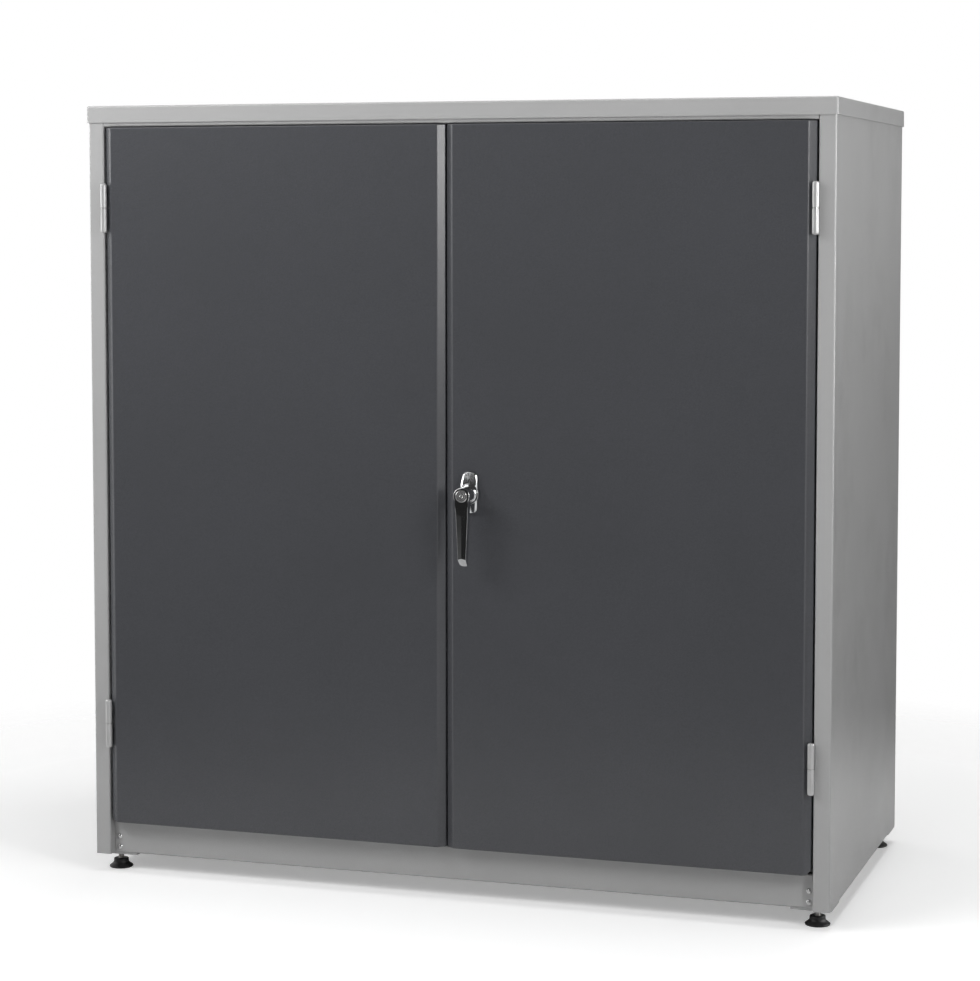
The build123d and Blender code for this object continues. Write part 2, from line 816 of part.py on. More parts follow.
def rack_bolt(hand, end_z, name):
    """A flat bolt with a rack along the edge that faces the pinion.

    The one on the right rises and the one on the left drops as the handle turns.
    """
    teeth_back = int((bolt_travel + tip_radius) / pitch) + 1
    teeth_ahead = int(tip_radius / pitch) + 1
    slope = tan(radians(pressure_angle))
    half_pitch_tooth = pitch / 4 - tooth_play / 4
    root = handle_x + hand * bolt_inner
    outer = handle_x + hand * bolt_outer
    crest = handle_x + hand * (pitch_radius - addendum)
    toward_end = 1 if end_z > handle_z else -1
    tail_z = handle_z - toward_end * (teeth_back + 1) * pitch
    with BuildPart() as bolt:
        with BuildSketch(Plane.XZ.offset(-bolt_rear)):
            with Locations(((root + outer) / 2, (end_z + tail_z) / 2)):
                Rectangle(bolt_width, abs(end_z - tail_z))
            for tooth in range(-teeth_back, teeth_ahead):
                centre = handle_z + toward_end * (tooth + 0.5) * pitch
                wide = half_pitch_tooth + dedendum * slope
                narrow = half_pitch_tooth - addendum * slope
                with BuildLine():
                    Polyline(
                        (root, centre - wide), (crest, centre - narrow),
                        (crest, centre + narrow), (root, centre + wide), close=True)
                make_face()
        extrude(amount=bolt_thickness)
    save(bolt, name)


rack_bolt(1, door_top - bolt_shy, "top_bolt")
rack_bolt(-1, door_bottom + bolt_shy, "bottom_bolt")

case_low = handle_z - case_height / 2
case_high = handle_z + case_height / 2


def bolt_window(z):
    """Ways through the case's end wall for both bolts."""
    for left in (top_bolt_left, bottom_bolt_left):
        block((left - tip_clearance, bolt_front - seat, z - case_wall),
              (left + bolt_width + tip_clearance, case_rear + seat, z + case_wall),
              mode=Mode.SUBTRACT)


with BuildPart() as lock_case:
    block((handle_x - case_half, case_front, case_low),
          (handle_x + case_half, case_rear, case_high))
    block((handle_x - case_half + case_wall, case_floor, case_low + case_wall),
          (handle_x + case_half - case_wall, case_rear, case_high - case_wall),
          mode=Mode.SUBTRACT)
    rod_along_y(handle_x, handle_z, spigot_radius + seat, case_front, case_floor,
                mode=Mode.SUBTRACT)
    bolt_window(case_low)
    bolt_window(case_high)
save(lock_case, "lock_case")

spindle_reach = spindle_size / sqrt(2)

with BuildPart() as lock_cover:
    block((handle_x - case_half, case_rear, case_low),
          (handle_x + case_half, case_rear + cover_thickness, case_high))
    rod_along_y(handle_x, handle_z, spindle_reach + seat, case_rear,
                case_rear + cover_thickness, mode=Mode.SUBTRACT)
save(lock_cover, "lock_cover")

with BuildPart() as bolt_guides:
    for left, toward_end in ((top_bolt_left, 1), (bottom_bolt_left, -1)):
        middle = handle_z + toward_end * guide_distance
        centre = left + bolt_width / 2
        block((centre - guide_width / 2, door_inner_face, middle - guide_height / 2),
              (centre + guide_width / 2, case_rear, middle + guide_height / 2))
        block((left - seat, bolt_front - seat, middle - guide_height),
              (left + bolt_width + seat, bolt_rear + seat, middle + guide_height),
              mode=Mode.SUBTRACT)
save(bolt_guides, "bolt_guides")


# ---------------------------------------------------------------- shelves
def upright(hand, y, name):
    """A slotted channel on a side panel."""
    root = hand * inside
    face = hand * (upright_face + upright_sheet / 2)
    reach = upright_width / 2 - upright_sheet / 2
    slots = int((upright_top - upright_bottom - 2 * slot_margin) / slot_pitch) + 1
    with BuildPart() as channel:
        with BuildSketch(Plane.XY.offset(upright_bottom)):
            folded_strip([
                (root, y - reach), (face, y - reach), (face, y + reach), (root, y + reach),
            ], gauge=upright_sheet)
        extrude(amount=upright_top - upright_bottom)
        with BuildSketch(Plane.YZ.offset(hand * upright_face)):
            for slot in range(slots):
                with Locations((y, slot_z(slot))):
                    Rectangle(slot_width, slot_height)
        extrude(amount=upright_sheet, both=True, mode=Mode.SUBTRACT)
    save(channel, name)


def slot_z(slot):
    """The height of the middle of a slot, counted from the bottom."""
    return upright_bottom + slot_margin + slot * slot_pitch


upright_ys = {"front": front + upright_front, "rear": back - upright_rear}
for hand, hand_name in ((-1, "left"), (1, "right")):
    for place, y in upright_ys.items():
        upright(hand, y, f"{hand_name}_{place}_upright")


def shelf_level(slot):
    """The underside of a shelf that hangs on the clips in one row of slots."""
    return slot_z(slot) + clip_height / 2


def shelf_clips(slot, name):
    """Four blades through the uprights' slots that carry a shelf's sides."""
    with BuildPart() as clips:
        for hand in (-1, 1):
            ends = sorted((hand * (upright_face + clip_grip),
                           hand * (upright_face - clip_reach)))
            for y in upright_ys.values():
                block((ends[0], y - clip_thickness / 2, slot_z(slot) - clip_height / 2),
                      (ends[1], y + clip_thickness / 2, slot_z(slot) + clip_height / 2))
    save(clips, name)


def shelf(slot, name):
    """A tray turned over, with a hem along the bottom of its front lip."""
    reach = upright_face - shelf_side_gap
    low = shelf_level(slot)
    shelf_y = front + shelf_front
    with BuildPart() as tray:
        shell(tray, (-reach, shelf_y, low),
              (reach, back_panel_front - shelf_back_gap, low + shelf_height))
        block((-reach + clip_reach, shelf_y + half, low),
              (reach - clip_reach, shelf_y + shelf_hem, low + sheet))
    save(tray, name)


for slot, place in ((lower_shelf_slot_count, "lower"), (upper_shelf_slot_count, "upper")):
    shelf_clips(slot, f"{place}_shelf_clips")
    shelf(slot, f"{place}_shelf")


# ---------------------------------------------------------------- catches on the left door
catch_front = door_rear + catch_gap
catch_levels = [(rail_bottom - catch_height, rail_bottom), (floor_top, floor_top + catch_height)]

with BuildPart() as catch_housings:
    for low, high in catch_levels:
        block((-catch_x - catch_width / 2, catch_front, low),
              (-catch_x + catch_width / 2, catch_front + catch_depth, high))
        middle = (low + high) / 2
        block((-catch_x - magnet_width / 2, catch_front, middle - magnet_height / 2),
              (-catch_x + magnet_width / 2, catch_front + magnet_depth,
               middle + magnet_height / 2), mode=Mode.SUBTRACT)
save(catch_housings, "catch_housings")

with BuildPart() as catch_magnets:
    for low, high in catch_levels:
        middle = (low + high) / 2
        block((-catch_x - magnet_width / 2, catch_front, middle - magnet_height / 2),
              (-catch_x + magnet_width / 2, catch_front + magnet_depth,
               middle + magnet_height / 2))
save(catch_magnets, "catch_magnets")
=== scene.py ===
import bmesh
import bpy
import json
from math import asin, atan2, cos, degrees, pi, radians, sin, tan
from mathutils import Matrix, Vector


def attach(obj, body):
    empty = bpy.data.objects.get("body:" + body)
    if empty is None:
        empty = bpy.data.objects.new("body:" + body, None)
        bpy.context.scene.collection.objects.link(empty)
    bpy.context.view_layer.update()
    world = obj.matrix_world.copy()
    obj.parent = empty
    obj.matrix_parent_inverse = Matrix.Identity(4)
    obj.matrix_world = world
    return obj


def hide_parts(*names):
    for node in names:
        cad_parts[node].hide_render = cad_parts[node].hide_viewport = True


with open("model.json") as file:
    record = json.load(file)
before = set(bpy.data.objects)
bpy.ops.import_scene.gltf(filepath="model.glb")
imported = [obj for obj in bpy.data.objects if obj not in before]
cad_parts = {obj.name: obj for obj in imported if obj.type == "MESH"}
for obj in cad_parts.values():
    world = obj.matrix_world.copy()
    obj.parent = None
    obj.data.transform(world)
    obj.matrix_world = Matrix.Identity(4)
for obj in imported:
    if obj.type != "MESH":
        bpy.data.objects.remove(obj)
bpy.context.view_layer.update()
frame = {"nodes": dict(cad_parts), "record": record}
nodes = frame["nodes"]

# ---------------------------------------------------------------- sizes, in metres
mm = 0.001
width = 1000 * mm
body_bottom = 24 * mm
body_top = 1024 * mm
front = -227.2 * mm
back = 268.8 * mm
side = 498 * mm
sheet = 1.5 * mm
half = sheet / 2
bend = 1.0 * mm
fold = bend + half              # at the middle of the sheet
easy_fold = 4 * mm              # where a door's face turns into its bevels
fold_steps = 5                  # flats round a fold
seat = 0.3 * mm
overhang = 2 * mm
lip_height = 22 * mm
lip_corner = 2.5 * mm
panel_top = body_top - sheet - seat
stile_edge = side - 21.5 * mm
stile_return = 24 * mm
back_flange = 22 * mm
plinth_front = front + 14 * mm
plinth_top = body_bottom + 43.5 * mm
rail_bottom = 996.5 * mm
door_face = front - 5 * mm
door_rear = front + 24 * mm
door_bottom = 69 * mm
door_top = 995.5 * mm
door_edge = stile_edge - 2.4 * mm
free_edge = 0.8 * mm
handle_x = 35 * mm
handle_z = 528.5 * mm
hub_front = door_face - 38 * mm
hub_back = door_face - 17.3 * mm
upper_hinge_z = body_top - 134.5 * mm
lower_hinge_z = body_bottom + 179 * mm
barrel_x = 474.3 * mm
barrel_y = -233.2 * mm
foot_x = 477 * mm
front_foot_y = -194.2 * mm
rear_foot_y = 235.8 * mm


# ---------------------------------------------------------------- ways of working
def only(piece):
    """Selects one piece and nothing else."""
    bpy.ops.object.select_all(action="DESELECT")
    piece.select_set(True)
    bpy.context.view_layer.objects.active = piece


def open_up(piece):
    """Starts work on a piece's own mesh."""
    only(piece)
    bpy.ops.object.mode_set(mode="EDIT")


def close_up():
    """Ends work on the open piece's mesh."""
    bpy.ops.object.mode_set(mode="OBJECT")


def middle(part):
    """The middle of a corner, edge or face."""
    if isinstance(part, bmesh.types.BMVert):
        return part.co.copy()
    total = Vector((0, 0, 0))
    for corner in part.verts:
        total += corner.co
    return total / len(part.verts)


def pick(piece, kind, test):
    """Selects the corners, edges or faces of the open piece that pass a test."""
    bpy.ops.mesh.select_mode(type=kind)
    bpy.ops.mesh.select_all(action="DESELECT")
    mesh = bmesh.from_edit_mesh(piece.data)
    mesh.normal_update()
    parts = {"VERT": mesh.verts, "EDGE": mesh.edges, "FACE": mesh.faces}[kind]
    chosen = [part for part in parts if test(part)]
    for part in chosen:
        part.select_set(True)
    mesh.select_flush_mode()
    bmesh.update_edit_mesh(piece.data)
    return len(chosen)


def near(a, b, reach=0.05 * mm):
    """Whether two places are the same, give or take a little."""
    return abs(a - b) < reach


def along(edge):
    """The direction of an edge."""
    return (edge.verts[1].co - edge.verts[0].co).normalized()


def face_outward():
    """Turns every face of the open piece to the outside."""
    bpy.ops.mesh.select_all(action="SELECT")
    bpy.ops.mesh.normals_make_consistent(inside=False)


def slice_piece(point, direction, **settings):
    """Cuts the whole open piece along a plane."""
    bpy.ops.mesh.select_all(action="SELECT")
    bpy.ops.mesh.bisect(plane_co=point, plane_no=direction, **settings)


def apply_modifier(piece, kind, **settings):
    """Puts a modifier on a piece and applies it."""
    only(piece)
    modifier = piece.modifiers.new(kind.lower(), kind)
    for name, value in settings.items():
        setattr(modifier, name, value)
    bpy.ops.object.modifier_apply(modifier=modifier.name)


def smooth(piece, angle=35):
    """Smooth shading over folds and roundings, with flat faces kept flat."""
    only(piece)
    bpy.ops.object.shade_smooth_by_angle(angle=radians(angle))
    apply_modifier(piece, "WEIGHTED_NORMAL", keep_sharp=True, weight=80)


def start_box(name, low, high):
    """A cube between two corners, to be shaped further."""
    bpy.ops.object.select_all(action="DESELECT")
    size = [b - a for a, b in zip(low, high)]
    centre = [(a + b) / 2 for a, b in zip(low, high)]
    bpy.ops.mesh.primitive_cube_add(size=1, location=centre)
    piece = bpy.context.object
    piece.scale = size
    bpy.ops.object.transform_apply(location=True, rotation=True, scale=True)
    piece.name = name
    return piece


def start_line(name, points):
    """A line drawn from point to point by pulling a corner along."""
    bpy.ops.object.select_all(action="DESELECT")
    bpy.ops.mesh.primitive_plane_add(size=mm, location=(0, 0, 0))
    piece = bpy.context.object
    piece.name = name
    open_up(piece)
    bpy.ops.mesh.select_mode(type="VERT")
    bpy.ops.mesh.select_all(action="SELECT")
    bpy.ops.mesh.merge(type="CENTER")
    bpy.ops.transform.translate(value=points[0])
    for here, there in zip(points, points[1:]):
        step = Vector(there) - Vector(here)
        bpy.ops.mesh.extrude_region_move(TRANSFORM_OT_translate={"value": step})
    return piece


def on_axis(axis, level, point):
    """A point of a section, at a level along the axis that the section runs along."""
    a, b = point
    return {"X": (level, a, b), "Y": (a, level, b), "Z": (a, b, level)}[axis]


def folded(name, points, axis, low, high, easy=(), gauge=sheet):
    """Sheet folded to a section along its middle; the folds counted in easy are rounder.

    Without a gauge the sheet stays a surface, to be shaped further.
    """
    piece = start_line(name, [on_axis(axis, low, point) for point in points])
    bpy.ops.mesh.select_all(action="SELECT")
    step = on_axis(axis, high - low, (0, 0))
    bpy.ops.mesh.extrude_region_move(TRANSFORM_OT_translate={"value": step})
    across = [i for i in range(3) if i != "XYZ".index(axis)]
    for count, (before, here, after) in enumerate(zip(points, points[1:], points[2:])):
        radius = easy_fold if count in easy else fold
        first = atan2(here[1] - before[1], here[0] - before[0])
        second = atan2(after[1] - here[1], after[0] - here[0])
        turn = abs((second - first + pi) % (2 * pi) - pi)
        pick(piece, "EDGE", lambda edge: all(
            near(corner.co[i], here[n], 0.01 * mm)
            for corner in edge.verts for n, i in enumerate(across)))
        bpy.ops.mesh.bevel(offset=radius * tan(turn / 2), segments=fold_steps, affect="EDGES")
    face_outward()
    close_up()
    if gauge:
        apply_modifier(piece, "SOLIDIFY", thickness=gauge, offset=0, use_even_offset=True)
    return piece


def turned(name, profile, axis, centre, steps=48):
    """A shape turned on a lathe from a profile of (radius, level) points."""
    def spot(radius, level):
        if axis == "Y":
            return (centre[0] + radius, level, centre[1])
        return (centre[0] + radius, centre[1], level)
    piece = start_line(name, [spot(*point) for point in profile])
    bpy.ops.mesh.select_all(action="SELECT")
    pivot = (centre[0], 0, centre[1]) if axis == "Y" else (centre[0], centre[1], 0)
    direction = (0, 1, 0) if axis == "Y" else (0, 0, 1)
    bpy.ops.mesh.spin(steps=steps, angle=2 * pi, center=pivot, axis=direction,
                      use_auto_merge=True)
    bpy.ops.mesh.select_all(action="SELECT")
    bpy.ops.mesh.remove_doubles(threshold=0.002 * mm)
    bpy.ops.mesh.normals_make_consistent(inside=False)
    close_up()
    return piece


def slab(name, outline, level, depth):
    """An outline in X and Z, filled at a level and pulled back along Y; it stays open."""
    piece = start_line(name, [(x, level, z) for x, z in outline])
    bpy.ops.mesh.select_all(action="SELECT")
    bpy.ops.mesh.edge_face_add()
    bpy.ops.mesh.extrude_region_move(TRANSFORM_OT_translate={"value": (0, depth, 0)})
    face_outward()
    return piece


def arc(centre, radius, start, end, steps=6):
    """Points round part of a circle, from one angle to another in degrees."""
    return [(centre[0] + radius * cos(radians(start + (end - start) * i / steps)),
             centre[1] + radius * sin(radians(start + (end - start) * i / steps)))
            for i in range(steps + 1)]


def cut(piece, *cutters):
    """Cuts other pieces' shapes out of a piece."""
    for cutter in cutters:
        apply_modifier(piece, "BOOLEAN", object=cutter, operation="DIFFERENCE",
                       solver="EXACT")
        bpy.data.objects.remove(cutter)


def joined(name, pieces):
    """Several shells made into one piece."""
    bpy.ops.object.select_all(action="DESELECT")
    for piece in pieces:
        piece.select_set(True)
    bpy.context.view_layer.objects.active = pieces[0]
    bpy.ops.object.join()
    pieces[0].name = name
    return pieces[0]


def copied(piece, name, shift=(0, 0, 0), mirror=False):
    """A copy with a mesh of its own, moved or mirrored left to right."""
    only(piece)
    bpy.ops.object.duplicate(linked=False)
    copy = bpy.context.object
    copy.name = name
    open_up(copy)
    bpy.ops.mesh.select_all(action="SELECT")
    if mirror:
        bpy.ops.transform.mirror(constraint_axis=(True, False, False), center_override=(0, 0, 0))
        bpy.ops.mesh.flip_normals()
    bpy.ops.transform.translate(value=shift)
    close_up()
    return copy


def place(piece, body, material, slot, *replaced):
    """Gives a finished piece its finish and the CAD body that it moves with."""
    piece.data.materials.clear()
    piece.data.materials.append(material)
    for node in replaced:
        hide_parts(node)
    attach(piece, body)


# ---------------------------------------------------------------- finishes
def add_node(tree, kind, settings=None, **inputs):
    """A shader node with its settings, and its inputs set or linked."""
    node = tree.nodes.new(kind)
    for name, value in (settings or {}).items():
        setattr(node, name, value)
    for name, value in inputs.items():
        key = name.replace("_", " ")
        socket = node.inputs[int(key[1:])] if key[1:].isdigit() and key[0] == "i" \
            else node.inputs[key]
        if isinstance(value, bpy.types.NodeSocket):
            tree.links.new(value, socket)
        else:
            socket.default_value = value
    return node


def new_group(name, inputs, outputs):
    """An empty node group with named sockets."""
    group = bpy.data.node_groups.new(name, "ShaderNodeTree")
    for label, kind in inputs:
        group.interface.new_socket(label, in_out="INPUT", socket_type=kind)
    for label, kind in outputs:
        group.interface.new_socket(label, in_out="OUTPUT", socket_type=kind)
    return group, group.nodes.new("NodeGroupInput").outputs, \
        group.nodes.new("NodeGroupOutput").inputs


FLOAT = "NodeSocketFloat"
COLOUR = "NodeSocketColor"
EFFECT = [("Colour", COLOUR), ("Roughness", FLOAT), ("Height", FLOAT)]


def calc(tree, operation, *values):
    """One step of arithmetic on numbers or sockets."""
    terms = {f"i{count}": value for count, value in enumerate(values)}
    return add_node(tree, "ShaderNodeMath", {"operation": operation}, **terms).outputs[0]


def object_place(tree):
    """Where a point lies on the piece itself."""
    return add_node(tree, "ShaderNodeTexCoord").outputs["Object"]


def noise(tree, where, size, detail, roughness=0.5):
    """A cloudy pattern between 0 and 1."""
    return add_node(tree, "ShaderNodeTexNoise", Vector=where, Scale=size, Detail=detail,
                    Roughness=roughness).outputs["Fac"]


def blend(tree, factor, a, b):
    """Mixes two colours."""
    node = add_node(tree, "ShaderNodeMix", {"data_type": "RGBA"})
    for socket, value in ((node.inputs[0], factor), (node.inputs[6], a), (node.inputs[7], b)):
        if isinstance(value, bpy.types.NodeSocket):
            tree.links.new(value, socket)
        else:
            socket.default_value = value
    return node.outputs[2]


def spread(tree, value, low, high, to_low=0.0, to_high=1.0):
    """Maps a value from one range to another, and holds it there."""
    node = add_node(tree, "ShaderNodeMapRange", Value=value)
    for name, number in (("From Min", low), ("From Max", high),
                         ("To Min", to_low), ("To Max", to_high)):
        if isinstance(number, bpy.types.NodeSocket):
            tree.links.new(number, node.inputs[name])
        else:
            node.inputs[name].default_value = number
    return node.outputs[0]


def painted_edge_highlight(tree, low, high, most):
    """How much sharp edges are lightened as a painted highlight, from nothing on flats to the most
    on sharp edges.
    """
    # painted highlight: the lightening follows how sharp an edge is, standing in for light caught
    # on folds
    sharp = add_node(tree, "ShaderNodeNewGeometry").outputs["Pointiness"]
    return spread(tree, sharp, low, high, 0.0, most)


def powder_group():
    """Baked powder coat: orange peel, fine flecks, slightly uneven cover, and a painted highlight
    that lightens sharp edges.
    """
    group, given, out = new_group(
        "powder coat",
        [("Paint", COLOUR), ("Fleck", COLOUR), ("Peel Size", FLOAT), ("Fleck Size", FLOAT),
         ("Sheen", FLOAT)], EFFECT)
    where = object_place(group)
    peel = noise(group, where, given["Peel Size"], 2.0, 0.45)
    fleck = noise(group, where, given["Fleck Size"], 3.0, 0.6)
    cover = noise(group, where, 4.5, 3.0)
    waves = noise(group, where, 9.0, 1.0)
    black = (0.0, 0.0, 0.0, 1.0)
    flecks = spread(group, fleck, 0.52, 0.74, 0.0, 0.55)
    uneven = spread(group, cover, 0.3, 0.7, 0.0, 0.10)
    colour = blend(group, flecks, given["Paint"], given["Fleck"])
    colour = blend(group, uneven, colour, black)
    # painted highlight: sharp folds and edges are lightened toward the fleck grey, as if catching
    # light
    colour = blend(group, painted_edge_highlight(group, 0.515, 0.56, 0.35), colour, given["Fleck"])
    group.links.new(colour, out["Colour"])
    patchy = spread(group, cover, 0.25, 0.75, -0.03, 0.03)
    grain = spread(group, fleck, 0.35, 0.65, -0.03, 0.04)
    rough = calc(group, "ADD", calc(group, "ADD", patchy, given["Sheen"]), grain)
    group.links.new(rough, out["Roughness"])
    fine = calc(group, "MULTIPLY_ADD", fleck, 0.12, peel)
    height = calc(group, "ADD", fine, calc(group, "MULTIPLY", waves, 2.0))
    group.links.new(height, out["Height"])
    return group


def metal_group():
    """Bare or plated metal: faint clouds, fine scratches, and sharp edges brightened back to the
    metal's own colour as a painted highlight.
    """
    group, given, out = new_group(
        "worked metal",
        [("Metal", COLOUR), ("Cloud", COLOUR), ("Grain Size", FLOAT), ("Smooth", FLOAT),
         ("Rough", FLOAT)], EFFECT)
    where = object_place(group)
    cloud = noise(group, where, 60.0, 4.0, 0.6)
    drawn_out = add_node(group, "ShaderNodeMapping", Vector=where,
                         Scale=(1.0, 1.0, 0.06)).outputs[0]
    scratch = noise(group, drawn_out, given["Grain Size"], 5.0, 0.7)
    patches = spread(group, cloud, 0.38, 0.68, 0.0, 0.6)
    colour = blend(group, patches, given["Metal"], given["Cloud"])
    # painted highlight: sharp edges are brightened back to the bright metal colour
    colour = blend(group, painted_edge_highlight(group, 0.52, 0.6, 0.5), colour, given["Metal"])
    group.links.new(colour, out["Colour"])
    rough = spread(group, scratch, 0.3, 0.7, given["Smooth"], given["Rough"])
    group.links.new(rough, out["Roughness"])
    group.links.new(scratch, out["Height"])
    return group


def plastic_group():
    """Moulded plastic: fine spark-eroded texture, faint flow shades, and a painted highlight that
    lightens sharp edges.
    """
    group, given, out = new_group(
        "moulded plastic", [("Plastic", COLOUR), ("Flow Tone And Edge Highlight", COLOUR), ("Texture Size", FLOAT)],
        EFFECT)
    where = object_place(group)
    pits = add_node(group, "ShaderNodeTexVoronoi", Vector=where,
                    Scale=given["Texture Size"]).outputs["Distance"]
    flow = noise(group, where, 90.0, 3.0)
    shades = spread(group, flow, 0.4, 0.7, 0.0, 0.35)
    colour = blend(group, shades, given["Plastic"], given["Flow Tone And Edge Highlight"])
    # painted highlight: sharp edges are lightened toward the paler tone
    colour = blend(group, painted_edge_highlight(group, 0.52, 0.6, 0.6), colour, given["Flow Tone And Edge Highlight"])
    group.links.new(colour, out["Colour"])
    group.links.new(spread(group, flow, 0.3, 0.7, 0.38, 0.5), out["Roughness"])
    group.links.new(pits, out["Height"])
    return group


powder = powder_group()
metal = metal_group()
plastic = plastic_group()


def finish(name, group, values, bump, distance, **sockets):
    """A material whose colour, roughness and relief come from one of the groups."""
    material = bpy.data.materials.new(name)
    material.use_nodes = True
    tree = material.node_tree
    shader = tree.nodes["Principled BSDF"]
    for socket, value in sockets.items():
        shader.inputs[socket.replace("_", " ")].default_value = value
    effect = tree.nodes.new("ShaderNodeGroup")
    effect.node_tree = group
    for socket, value in values.items():
        effect.inputs[socket].default_value = value
    tree.links.new(effect.outputs["Colour"], shader.inputs["Base Color"])
    tree.links.new(effect.outputs["Roughness"], shader.inputs["Roughness"])
    relief = add_node(tree, "ShaderNodeBump", Strength=bump, Distance=distance,
                      Height=effect.outputs["Height"])
    tree.links.new(relief.outputs[0], shader.inputs["Normal"])
    return material


def grey(level, red=0.0, blue=0.0):
    """A grey from a screen level between 0 and 255, with a little more or less red and blue."""
    def linear(value):
        share = value / 255
        return share / 12.92 if share <= 0.04045 else ((share + 0.055) / 1.055) ** 2.4
    return (linear(level + red), linear(level), linear(level + blue), 1.0)


paint_light = finish(
    "light grey powder coat", powder,
    {"Paint": grey(176), "Fleck": grey(188), "Peel Size": 700.0, "Fleck Size": 2600.0,
     "Sheen": 0.29}, 0.08, 0.0006, Specular_IOR_Level=0.5)
paint_dark = finish(
    "anthracite powder coat", powder,
    {"Paint": grey(74, -1, 4), "Fleck": grey(98, -1, 4), "Peel Size": 620.0,
     "Fleck Size": 2600.0, "Sheen": 0.27}, 0.11, 0.0006, Specular_IOR_Level=0.5)
chrome = finish(
    "polished chrome", metal,
    {"Metal": grey(212, -1, 1), "Cloud": grey(196, -1, 1), "Grain Size": 900.0,
     "Smooth": 0.05, "Rough": 0.12}, 0.03, 0.0002, Metallic=1.0)
satin_chrome = finish(
    "satin chrome", metal,
    {"Metal": grey(205), "Cloud": grey(185), "Grain Size": 2500.0, "Smooth": 0.14,
     "Rough": 0.24}, 0.06, 0.0002, Metallic=0.8)
zinc = finish(
    "bright zinc plate", metal,
    {"Metal": grey(205, 1, -1), "Cloud": grey(176, 3, -3), "Grain Size": 1500.0, "Smooth": 0.22,
     "Rough": 0.38}, 0.08, 0.0002, Metallic=1.0)
hinge_metal = finish(
    "hinge zinc", metal,
    {"Metal": grey(192), "Cloud": grey(180, 1, -1), "Grain Size": 1800.0, "Smooth": 0.32,
     "Rough": 0.42}, 0.04, 0.0002, Metallic=0.35, Specular_IOR_Level=0.8)
screw_steel = finish(
    "bright screw steel", metal,
    {"Metal": grey(225), "Cloud": grey(200), "Grain Size": 1800.0, "Smooth": 0.16,
     "Rough": 0.3}, 0.06, 0.0002, Metallic=1.0)
ground_steel = finish(
    "ground steel", metal,
    {"Metal": grey(190), "Cloud": grey(160, 1, -1), "Grain Size": 2600.0, "Smooth": 0.25,
     "Rough": 0.42}, 0.10, 0.0002, Metallic=1.0)
black_plastic = finish(
    "black moulded plastic", plastic,
    {"Plastic": grey(26), "Flow Tone And Edge Highlight": grey(44), "Texture Size": 1600.0}, 0.25, 0.0002,
    Specular_IOR_Level=0.4)
magnet_finish = finish(
    "sintered magnet", plastic,
    {"Plastic": grey(52, 1, -1), "Flow Tone And Edge Highlight": grey(78, 1, -1), "Texture Size": 2600.0}, 0.4, 0.0003,
    Specular_IOR_Level=0.5)

slot_finish = {
    "grey_paint": paint_light, "anthracite_paint": paint_dark, "chrome": chrome,
    "zinc_plate": zinc, "bright_screw": screw_steel, "bright_steel": ground_steel,
    "black_plastic": black_plastic, "magnet": magnet_finish}
record_slots = {part["node"]: part["material_slot"] for part in frame["record"]["subparts"]}
for name, node in nodes.items():
    for slot in node.material_slots:
        slot.material = slot_finish[record_slots[name]]


# ---------------------------------------------------------------- body
def top_cap():
    """The lid: a shallow tray upside down, its edges rounded."""
    cap = start_box("lid", (-width / 2, front - overhang, body_top - lip_height),
                    (width / 2, back + overhang, body_top))
    open_up(cap)
    pick(cap, "FACE", lambda face: face.normal.z < -0.9)
    bpy.ops.mesh.delete(type="FACE")
    pick(cap, "EDGE", lambda edge: abs(along(edge).z) > 0.9 or middle(edge).z > body_top - mm)
    bpy.ops.mesh.bevel(offset=lip_corner, segments=6, affect="EDGES")
    face_outward()
    close_up()
    apply_modifier(cap, "SOLIDIFY", thickness=sheet, offset=-1, use_even_offset=True)
    smooth(cap)
    place(cap, "cabinet", paint_light, "grey_paint", "top_cap")


def side_panel(hand, name):
    """A side with the stile folded at its front and a flange at its back."""
    outer = hand * (side - half)
    stile = hand * (stile_edge + half)
    panel = folded(name, [
        (stile, front + stile_return), (stile, front + half), (outer, front + half),
        (outer, back - half), (outer - hand * back_flange, back - half)],
        "Z", body_bottom, panel_top)
    smooth(panel)
    place(panel, "cabinet", paint_light, "grey_paint", f"{name}_panel")


def bolt_slot(x, y, z):
    """A block the size of the slot that a bolt runs into."""
    half_size = Vector((4.5 * mm, 2.5 * mm, 3 * mm))
    centre = Vector((x, y, z))
    return start_box("slot cutter", centre - half_size, centre + half_size)


bolt_y = -207.2 * mm
bolt_offset = 15.5 * mm             # to either side of the handle
top_bolt_x = handle_x + bolt_offset
bottom_bolt_x = handle_x - bolt_offset


def top_rail():
    """The folded rail above the doors, with the slot for the top bolt."""
    rail_front = front + 0.5 * mm + half
    rail_back = front + 45.5 * mm
    return_width = 14 * mm
    reach = stile_edge - seat
    rail = folded("top_rail_sheet", [
        (rail_back - return_width, panel_top - half), (rail_front, panel_top - half),
        (rail_front, rail_bottom + half), (rail_back, rail_bottom + half),
        (rail_back, rail_bottom + return_width)], "X", -reach, reach)
    cut(rail, bolt_slot(top_bolt_x, bolt_y, rail_bottom))
    smooth(rail)
    place(rail, "cabinet", paint_light, "grey_paint", "top_rail")


def plinth_rail():
    """The recessed plinth, with the bottom bolt's slot and notches round the feet's nuts."""
    reach = stile_edge - seat
    far = plinth_front + 31 * mm
    notch = 8.5 * mm
    rail = folded("plinth_sheet", [
        (far, plinth_top - half), (plinth_front + half, plinth_top - half),
        (plinth_front + half, body_bottom + half), (far, body_bottom + half)],
        "X", -reach, reach)
    notches = [
        start_box("notch cutter",
                  (hand * foot_x - notch, front_foot_y - notch, body_bottom - mm),
                  (hand * foot_x + notch, front_foot_y + notch, body_bottom + 3 * mm))
        for hand in (-1, 1)]
    cut(rail, bolt_slot(bottom_bolt_x, bolt_y, plinth_top), *notches)
    smooth(rail)
    place(rail, "cabinet", paint_light, "grey_paint", "plinth_rail")


